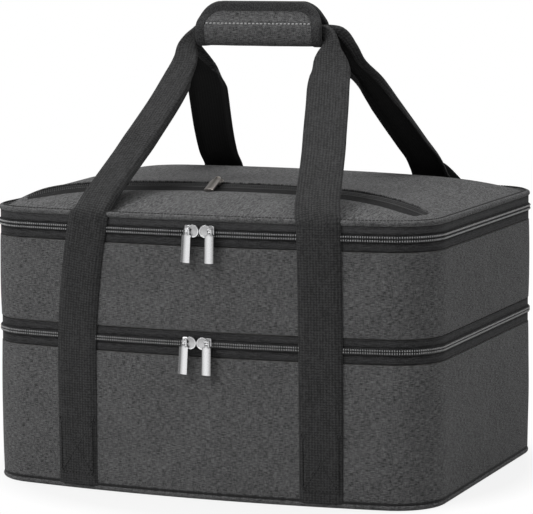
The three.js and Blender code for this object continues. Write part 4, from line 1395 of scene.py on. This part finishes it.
class BuildWrap(bpy.types.Operator):
    """Padded grip wrap: two quilted halves, bound edges and the closure inside"""
    bl_idname = "carrier.wrap"
    bl_label = "Grip wrap"

    def execute(self, context):
        for name, side, start, body in (("back", 1, -4, "rear_handle_body"), ("flap", -1, 4.3, "wrap_flap_body")):
            face = WrapSide(side, start)
            self.panel(name, face, body)
            self.binding(name, face, body)
            self.quilting(name, face, body)
            self.closure(name, side, body)
        return {"FINISHED"}

    def panel(self, name, face, body):
        """The quilted padding of a half"""
        inset, rows, columns = 3 * MM, 56, 90
        high = face.top - inset

        def spot(u, v):
            run = high * v
            return wrap_reach(run, face.top, inset) * (2 * u - 1), run

        def place(u, v):
            x, run = spot(u, v)
            sides = 1 - abs(2 * u - 1) ** 6
            groove = math.exp(-((run - face.top * WRAP_SEAM) / (1.3 * MM)) ** 2)
            swell = sizes().wrap_puff * sides * math.sin(math.pi * min(1, 0.08 + 0.9 * v)) ** 0.5
            ripple = noise.noise(Vector((x * 40, run * 60, face.side * 3.0)))
            return face.spot(x, run, swell * (0.75 + 0.35 * ripple) - 0.7 * MM * groove)

        piece = tidy(placed_grid(f"wrap_{name}_pad", columns, rows, place, spot))
        middle = piece.data.polygons[len(piece.data.polygons) // 2]
        inwards = -1.0 if middle.normal.y * face.side > 0 else 1.0
        applied(piece, thickened(3.4 * MM, inwards))
        keep(shaded(piece), "heather_cloth", body, f"wrap_{name}")

    def binding(self, name, face, body):
        """The tape folded round a half's two ends and its top"""
        straight_run = face.top - WRAP_CORNER
        curve = WRAP_CORNER * QUARTER
        across = 2 * (WRAP_HALF - WRAP_CORNER)
        total = 2 * straight_run + 2 * curve + across

        def edge(run):
            """A point of the flat panel's edge, and the direction inwards."""
            mirror = 1
            if run > total / 2:
                run, mirror = total - run, -1
            if run < straight_run:
                point, inwards = Vector((-WRAP_HALF, run)), Vector((1, 0))
            elif run < straight_run + curve:
                angle = (run - straight_run) / WRAP_CORNER
                inwards = Vector((math.cos(angle), -math.sin(angle)))
                point = Vector((-WRAP_HALF + WRAP_CORNER, straight_run)) - inwards * WRAP_CORNER
            else:
                point = Vector((-WRAP_HALF + WRAP_CORNER + run - straight_run - curve, face.top))
                inwards = Vector((0, -1))
            return Vector((point.x * mirror, point.y)), Vector((inwards.x * mirror, inwards.y))

        width, out = 8.5 * MM, 0.75 * MM
        rows = [(width, 0.0), (width - 0.3 * MM, out), (width * 0.75, out * 1.15), (width * 0.4, out * 1.2),
                (1.6 * MM, out * 1.1), (0.5 * MM, out * 0.6), (-0.2 * MM, -0.8 * MM), (-0.4 * MM, -1.8 * MM),
                (-0.2 * MM, -2.9 * MM), (0.6 * MM, -3.7 * MM), (2 * MM, -3.9 * MM), (width * 0.6, -3.9 * MM),
                (width, -3.8 * MM)]

        def place(u, v):
            point, inwards = edge(total * u)
            depth, lift = rows[round(v * (len(rows) - 1))]
            spot = point + inwards * depth
            return face.spot(spot.x, spot.y, lift)

        def flat(u, v):
            return total * u, v * 20 * MM

        piece = tidy(placed_grid(f"wrap_{name}_edge", 150, len(rows) - 1, place, flat))
        keep(shaded(applied(piece, thickened(0.4 * MM))), "binding", body, f"wrap_{name}_binding")

    def quilting(self, name, face, body):
        """The row of stitches along the middle of a half"""
        frames = []
        reach = WRAP_HALF - 9 * MM
        count = int(2 * reach / sizes().stitch_pitch)
        for i in range(count):
            x = -reach + (i + 0.5) * 2 * reach / count
            here = face.spot(x, face.top * WRAP_SEAM, 0.15 * MM)
            frames.append(pose(here, (1, 0, 0), here - face.spot(x, face.top * WRAP_SEAM, -1 * MM)))
        keep(stitches(f"wrap_{name}_stitches", frames), "light_thread", body)

    def closure(self, name, side, body):
        """The strip of hook or loop pile inside a half"""
        node = "wrap_loop_strip" if side > 0 else "wrap_hook_strip"
        low, high = (Vector(corner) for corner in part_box(node))
        piece = fresh(bpy.ops.mesh.primitive_cube_add, high - low, size=1, location=(low + high) / 2)
        named(piece, f"wrap_{name}_closure")
        edit(piece, (bpy.ops.mesh.subdivide, {"number_cuts": 7}),
             (bpy.ops.mesh.vertices_smooth, {"factor": 0.4, "repeat": 2}))
        keep(shaded(piece), "closure", body, node)


# Sliders and pulls

# A slider's bail stands beside the middle of its cap, and the pull hangs from it
BAIL_HEIGHT, BAIL_OFFSET = 4.9 * MM, 4.6 * MM
TAB_HALF, TAB_THICK = 4.1 * MM, 1.5 * MM
TAB_LENGTH, POCKET_TAB_LENGTH = 26 * MM, 24 * MM
# In millimetres: the middle of each zip's pair of sliders along X, half the distance between the two, and how far
# they stand above the zip's middle
PAIR_SHIFT = {"mid": 3.8, "top": 7.0}
SLIDER_APART = 5.5
SLIDER_RISE = {"mid": 1.2, "top": 2.4}


def box(x0, x1, y0, y1, z0, z1, upright, edge):
    """A block whose upright edges are rounded by one radius, and the edges still sharp then by a smaller one."""
    piece = fresh(bpy.ops.mesh.primitive_cube_add, (x1 - x0, y1 - y0, z1 - z0), size=1,
                  location=((x0 + x1) / 2, (y0 + y1) / 2, (z0 + z1) / 2))
    select(piece)
    mesh = piece.data
    heights = [vertex.co.z for vertex in mesh.vertices]
    tall = [abs(heights[line.vertices[0]] - heights[line.vertices[1]]) > TINY for line in mesh.edges]
    # The edges are marked both before and after the change to edge mode
    mesh.edges.foreach_set("select", tall)
    mesh.polygons.foreach_set("select", [False] * len(mesh.polygons))
    mesh.vertices.foreach_set("select", [True] * len(mesh.vertices))
    bpy.ops.object.mode_set(mode="EDIT")
    bpy.ops.mesh.select_mode(type="EDGE")
    bpy.ops.object.mode_set(mode="OBJECT")
    mesh.edges.foreach_set("select", tall)
    bpy.ops.object.mode_set(mode="EDIT")
    bpy.ops.mesh.bevel(offset=upright, segments=6, affect="EDGES")
    bpy.ops.mesh.select_mode(type="VERT")
    bpy.ops.object.mode_set(mode="OBJECT")
    return applied(piece, edges_rounded(edge))


def cylinder(radius, depth, centre, rotation=(0, 0, 0), sides=32, edge=0.25 * MM):
    piece = fresh(bpy.ops.mesh.primitive_cylinder_add, vertices=sides, radius=radius, depth=depth,
                  location=centre, rotation=rotation)
    return applied(piece, edges_rounded(edge))


def joined(name, pieces):
    select(pieces[0])
    for piece in pieces[1:]:
        piece.select_set(True)
    bpy.ops.object.join()
    return named(bpy.context.object, name)


def slider(name, side):
    """A slider on its zip: square-shouldered body, round cap with a raised rim and the pull's bail."""
    outer = side or -1
    ends = sorted((outer * 7.4 * MM, -outer * 3.0 * MM))
    body = box(*ends, -3.6 * MM, 4.6 * MM, 0, 2.2 * MM, 0.7 * MM, 0.35 * MM)
    cap = cylinder(5.3 * MM, 1.3 * MM, (0, 0, 2.8 * MM), sides=48, edge=0.3 * MM)
    pick(cap, lambda face: face.normal.z > 0.99 and face.center.z > 3.4 * MM)
    bpy.ops.mesh.inset(thickness=0.55 * MM, depth=0)
    bpy.ops.mesh.inset(thickness=0.25 * MM, depth=-0.35 * MM)
    bpy.ops.object.mode_set(mode="OBJECT")
    centre = side * BAIL_OFFSET
    bar = cylinder(0.7 * MM, 2.4 * MM, (centre, 0, BAIL_HEIGHT), (0, QUARTER, 0), 14)
    posts = [box(centre + end * 1.0 * MM - 0.45 * MM, centre + end * 1.0 * MM + 0.45 * MM, -0.8 * MM, 0.8 * MM,
                 2.2 * MM, BAIL_HEIGHT + 0.7 * MM, 0.4 * MM, 0.25 * MM) for end in (-1, 1)]
    return joined(name, [body, cap, bar, *posts])


def pull(name, reach, painted_glint):
    """A crowned tab with a slot at its head for the bail. Its cloth place across it counts from where its material
    paints the highlight.
    """
    head, neck = 2.6 * MM, 0.5 * MM
    piece = fresh(bpy.ops.mesh.primitive_cube_add, (2 * TAB_HALF, 2 * head, TAB_THICK), size=1)
    pick(piece, lambda face: abs(face.normal.z) > 0.9)
    bpy.ops.mesh.inset(thickness=1.25 * MM, use_individual=True)
    bpy.ops.mesh.bridge_edge_loops()
    bpy.ops.object.mode_set(mode="OBJECT")
    pick(piece, lambda face: face.normal.y < -0.9 and face.center.y < -0.9 * head)
    for step in (-neck, head + neck - reach):
        bpy.ops.mesh.extrude_region_move(TRANSFORM_OT_translate={"value": (0, step, 0)})
    bpy.ops.object.mode_set(mode="OBJECT")
    cuts = [((share * 2 * TAB_HALF, 0, 0), (1, 0, 0)) for share in (-0.4, -0.3, -0.15, 0, 0.15, 0.3, 0.4)]
    cuts += [((0, -down, 0), (0, 1, 0)) for down in (head + 0.9 * MM, head + 1.6 * MM, reach - 0.8 * MM)]
    for place, normal in cuts:
        edit(piece, (bpy.ops.mesh.bisect, {"plane_co": place, "plane_no": normal}))
    tidy(piece)
    for vertex in piece.data.vertices:
        if vertex.co.z > 0:
            vertex.co.z += 0.75 * MM * (1 - (vertex.co.x / TAB_HALF) ** 2)
        vertex.co.x *= 0.94 + 0.06 * min(1, -vertex.co.y / reach)
        if vertex.co.y > -head - TINY:
            vertex.co.x *= 0.62
    mesh = named(applied(piece, edges_rounded(0.35 * MM)), name).data
    across = mesh.uv_layers.get("cloth") or mesh.uv_layers.new(name="cloth")
    for corner in mesh.loops:
        spot = mesh.vertices[corner.vertex_index].co
        across.data[corner.index].uv = (spot.x / TAB_HALF - painted_glint, spot.y / reach)
    return piece


class BuildSliders(bpy.types.Operator):
    """Sliders and pulls of both deck zips and of the lid pocket"""
    bl_idname = "carrier.sliders"
    bl_label = "Sliders and pulls"

    def execute(self, context):
        for zip_name, height in (("mid", MID_ZIP), ("top", TOP_ZIP)):
            # The last figure sets where across each pull its material paints the highlight
            for end, place, lean, painted_glint in ((-1, "left", -3.7, 0.5), (1, "right", -1.1, 0.0)):
                x = (PAIR_SHIFT[zip_name] + end * SLIDER_APART) * MM
                radius = BOW_RADIUS + 1.2 * MM
                angle = math.asin(x / radius)
                out = Vector((math.sin(angle), -math.cos(angle), 0))
                along = Vector((math.cos(angle), math.sin(angle), 0))
                raised = height + SLIDER_RISE[zip_name] * MM
                seat = pose(Vector((0, BOW_CENTRE, raised)) + out * radius, along, out)
                hang = Matrix.Rotation(math.radians(lean), 4, "Z")
                self.fit(zip_name, f"_{place}", end, seat, TAB_LENGTH, ("bright_metal", "tab_metal"), hang, painted_glint)
        seat = lid_frame(POCKET_CHAIN_RADIUS, POCKET_SLIDER_TURN, 1.25 * MM)
        hang = Matrix.Rotation(math.radians(4), 4, "X")
        self.fit("pocket", "", 0, seat, POCKET_TAB_LENGTH, ("nickel_metal", "nickel_metal"), hang, 0.0)
        return {"FINISHED"}

    def fit(self, zip_name, place, side, seat, reach, finishes, hang, painted_glint):
        """One slider with the parts on its cap, and its pull hung from the bail"""
        slide, tab = f"{zip_name}_slider{place}", f"{zip_name}_pull{place}"
        parts = [(slider(f"{slide}_metal", side), finishes[0], slide)]
        if side:
            for part, finish, radius, depth, centre, sides, edge in (
                ("face", "slider_face", 4.35, 0.2, (0, 0, 3.05), 40, 0.05),
                # The dark disc is painted shade, put where the cap's hole lies in shadow
                ("eye", "zip_teeth", 1.5, 0.3, (side * 2.6, 1.2, 3.15), 20, 0.08),
            ):
                disc = cylinder(radius * MM, depth * MM, [c * MM for c in centre], sides=sides, edge=edge * MM)
                parts.append((named(disc, f"{slide}_{part}"), finish))
        for piece, finish, *node in parts:
            piece.data.transform(seat)
            keep(shaded(piece, 40), finish, f"{slide}_body", *node)
        piece = pull(f"{tab}_metal", reach, painted_glint)
        piece.data.transform(seat @ Matrix.Translation((side * BAIL_OFFSET, 0, BAIL_HEIGHT)) @ hang)
        keep(shaded(piece, 40), finishes[1], f"{tab}_body", tab)


class DressFrame(bpy.types.Operator):
    """Material for the base board, the CAD part that stays"""
    bl_idname = "carrier.frame_finishes"
    bl_label = "Frame finishes"

    def execute(self, context):
        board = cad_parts["base_board"]
        board.data.materials.clear()
        board.data.materials.append(material("stiff_board"))
        return {"FINISHED"}


# Stage

EYE = Vector((0.89845, -2.21143, 0.48027))
TARGET = Vector((-0.003319, 0, 0.166994))
ROLL = math.radians(-0.318)
LENS, SHIFT = 185.23, 0.0329
# Up to this square of the distance from the middle the floor shows a faint shadow; beyond it fades to white
SHADOW_REACH = 0.05


class BuildStage(bpy.types.Operator):
    """Floor, soft light and the camera"""
    bl_idname = "carrier.stage"
    bl_label = "Stage"

    def execute(self, context):
        self.floor()
        self.light()
        self.camera()
        return {"FINISHED"}

    def floor(self):
        deselect()
        bpy.ops.mesh.primitive_plane_add(size=40, location=(0, 0, -0.2 * MM))
        piece = bpy.context.object
        piece.name = "studio_floor"
        shader = Shader("studio_white", 0.9)
        x, y, _ = shader.place(1.0)
        shade = shader.noise(x * 2, y * 2, 0.0, 2.0)
        shader.paint(shader.mix(shade, (0.6, 0.6, 0.6, 1), (0.64, 0.64, 0.64, 1)))
        far = ((x * x + y * y) - SHADOW_REACH).kept() * 9.0 + 0.84
        path = shader.node("ShaderNodeLightPath", {}, {})
        seen = Field(shader, path.outputs["Is Camera Ray"]) + Field(shader, path.outputs["Is Glossy Ray"])
        seen = (seen + Field(shader, path.outputs["Is Transmission Ray"])).kept()
        white = shader.node("ShaderNodeEmission", {}, {"Strength": 1.0})
        blend = shader.node("ShaderNodeMixShader", {}, {0: far.kept() * seen, 1: shader.surface.outputs[0],
                                                        2: white.outputs[0]})
        shader.feed(shader.out.inputs["Surface"], blend.outputs[0])
        piece.data.materials.append(shader.material)

    def light(self):
        """An even room, white to the camera, and two soft lamps"""
        stage = bpy.context.scene.carrier_stage
        world = bpy.data.worlds.new("studio_room")
        bpy.context.scene.world = world
        room = Nodes(world)
        path = room.node("ShaderNodeLightPath", {}, {}).outputs
        camera = Field(room, path["Is Camera Ray"])
        seen = camera.maths("MAXIMUM", camera, Field(room, path["Is Transmission Ray"]))
        level = room.node("ShaderNodeMapRange", {}, {"Value": seen, "To Min": stage.surround, "To Max": 1.0})
        glow = room.node("ShaderNodeBackground", {}, {"Strength": level.outputs[0]})
        room.node("ShaderNodeOutputWorld", {}, {"Surface": glow.outputs[0]})
        self.lamp("key_lamp", (-1.8, -2.2, 2.9), stage.key, 2.2)
        self.lamp("top_lamp", (0.3, 0.2, 2.6), stage.fill, 2.4)

    @staticmethod
    def lamp(name, place, power, size):
        deselect()
        bpy.ops.object.light_add(type="AREA", location=place)
        lamp = bpy.context.object
        lamp.name = name
        lamp.data.energy = power
        lamp.data.shape = "DISK"
        lamp.data.size = size
        lamp.rotation_euler = (Vector((0, 0, 0.15)) - Vector(place)).to_track_quat("-Z", "Y").to_euler()

    @staticmethod
    def camera():
        deselect()
        bpy.ops.object.camera_add(location=EYE)
        camera = bpy.context.object
        camera.name = "photo_camera"
        back = (EYE - TARGET).normalized()
        right = Vector((0, 0, 1)).cross(back).normalized()
        up = back.cross(right)
        turned_right = right * math.cos(ROLL) + up * math.sin(ROLL)
        turned_up = up * math.cos(ROLL) - right * math.sin(ROLL)
        camera.rotation_euler = Matrix((turned_right, turned_up, back)).transposed().to_euler()
        camera.data.sensor_width = 36
        camera.data.lens = LENS
        camera.data.shift_y = SHIFT
        bpy.context.scene.camera = camera
        bpy.context.scene.view_settings.view_transform = "Standard"


# Add-on

PIECES = (BuildStage, BuildWalls, BuildPiping, BuildBottom, BuildZips, BuildFoldStrips, BuildLid, BuildLinings,
          BuildStraps, BuildWrap, BuildSliders, DressFrame)


class CarrierPanel(bpy.types.Panel):
    """Sizes, colours and building steps of the carrier"""
    bl_idname = "VIEW3D_PT_carrier"
    bl_label = "Casserole carrier"
    bl_space_type = "VIEW_3D"
    bl_region_type = "UI"
    bl_category = "Carrier"

    def draw(self, context):
        for group in (context.scene.carrier_sizes, context.scene.carrier_colours, context.scene.carrier_stage):
            for name in group.__annotations__:
                self.layout.prop(group, name)
        for piece in PIECES:
            self.layout.operator(piece.bl_idname)


CLASSES = (CarrierSizes, CarrierColours, CarrierStage, *PIECES, CarrierPanel)


def register():
    for kind in CLASSES:
        bpy.utils.register_class(kind)
    scene = bpy.types.Scene
    scene.carrier_sizes = bpy.props.PointerProperty(type=CarrierSizes)
    scene.carrier_colours = bpy.props.PointerProperty(type=CarrierColours)
    scene.carrier_stage = bpy.props.PointerProperty(type=CarrierStage)


def unregister():
    for name in ("carrier_sizes", "carrier_colours", "carrier_stage"):
        delattr(bpy.types.Scene, name)
    for kind in reversed(CLASSES):
        bpy.utils.unregister_class(kind)


def main():
    register()
    for piece in PIECES:
        group, name = piece.bl_idname.split(".")
        getattr(getattr(bpy.ops, group), name)()


if __name__ == "__main__":
    main()
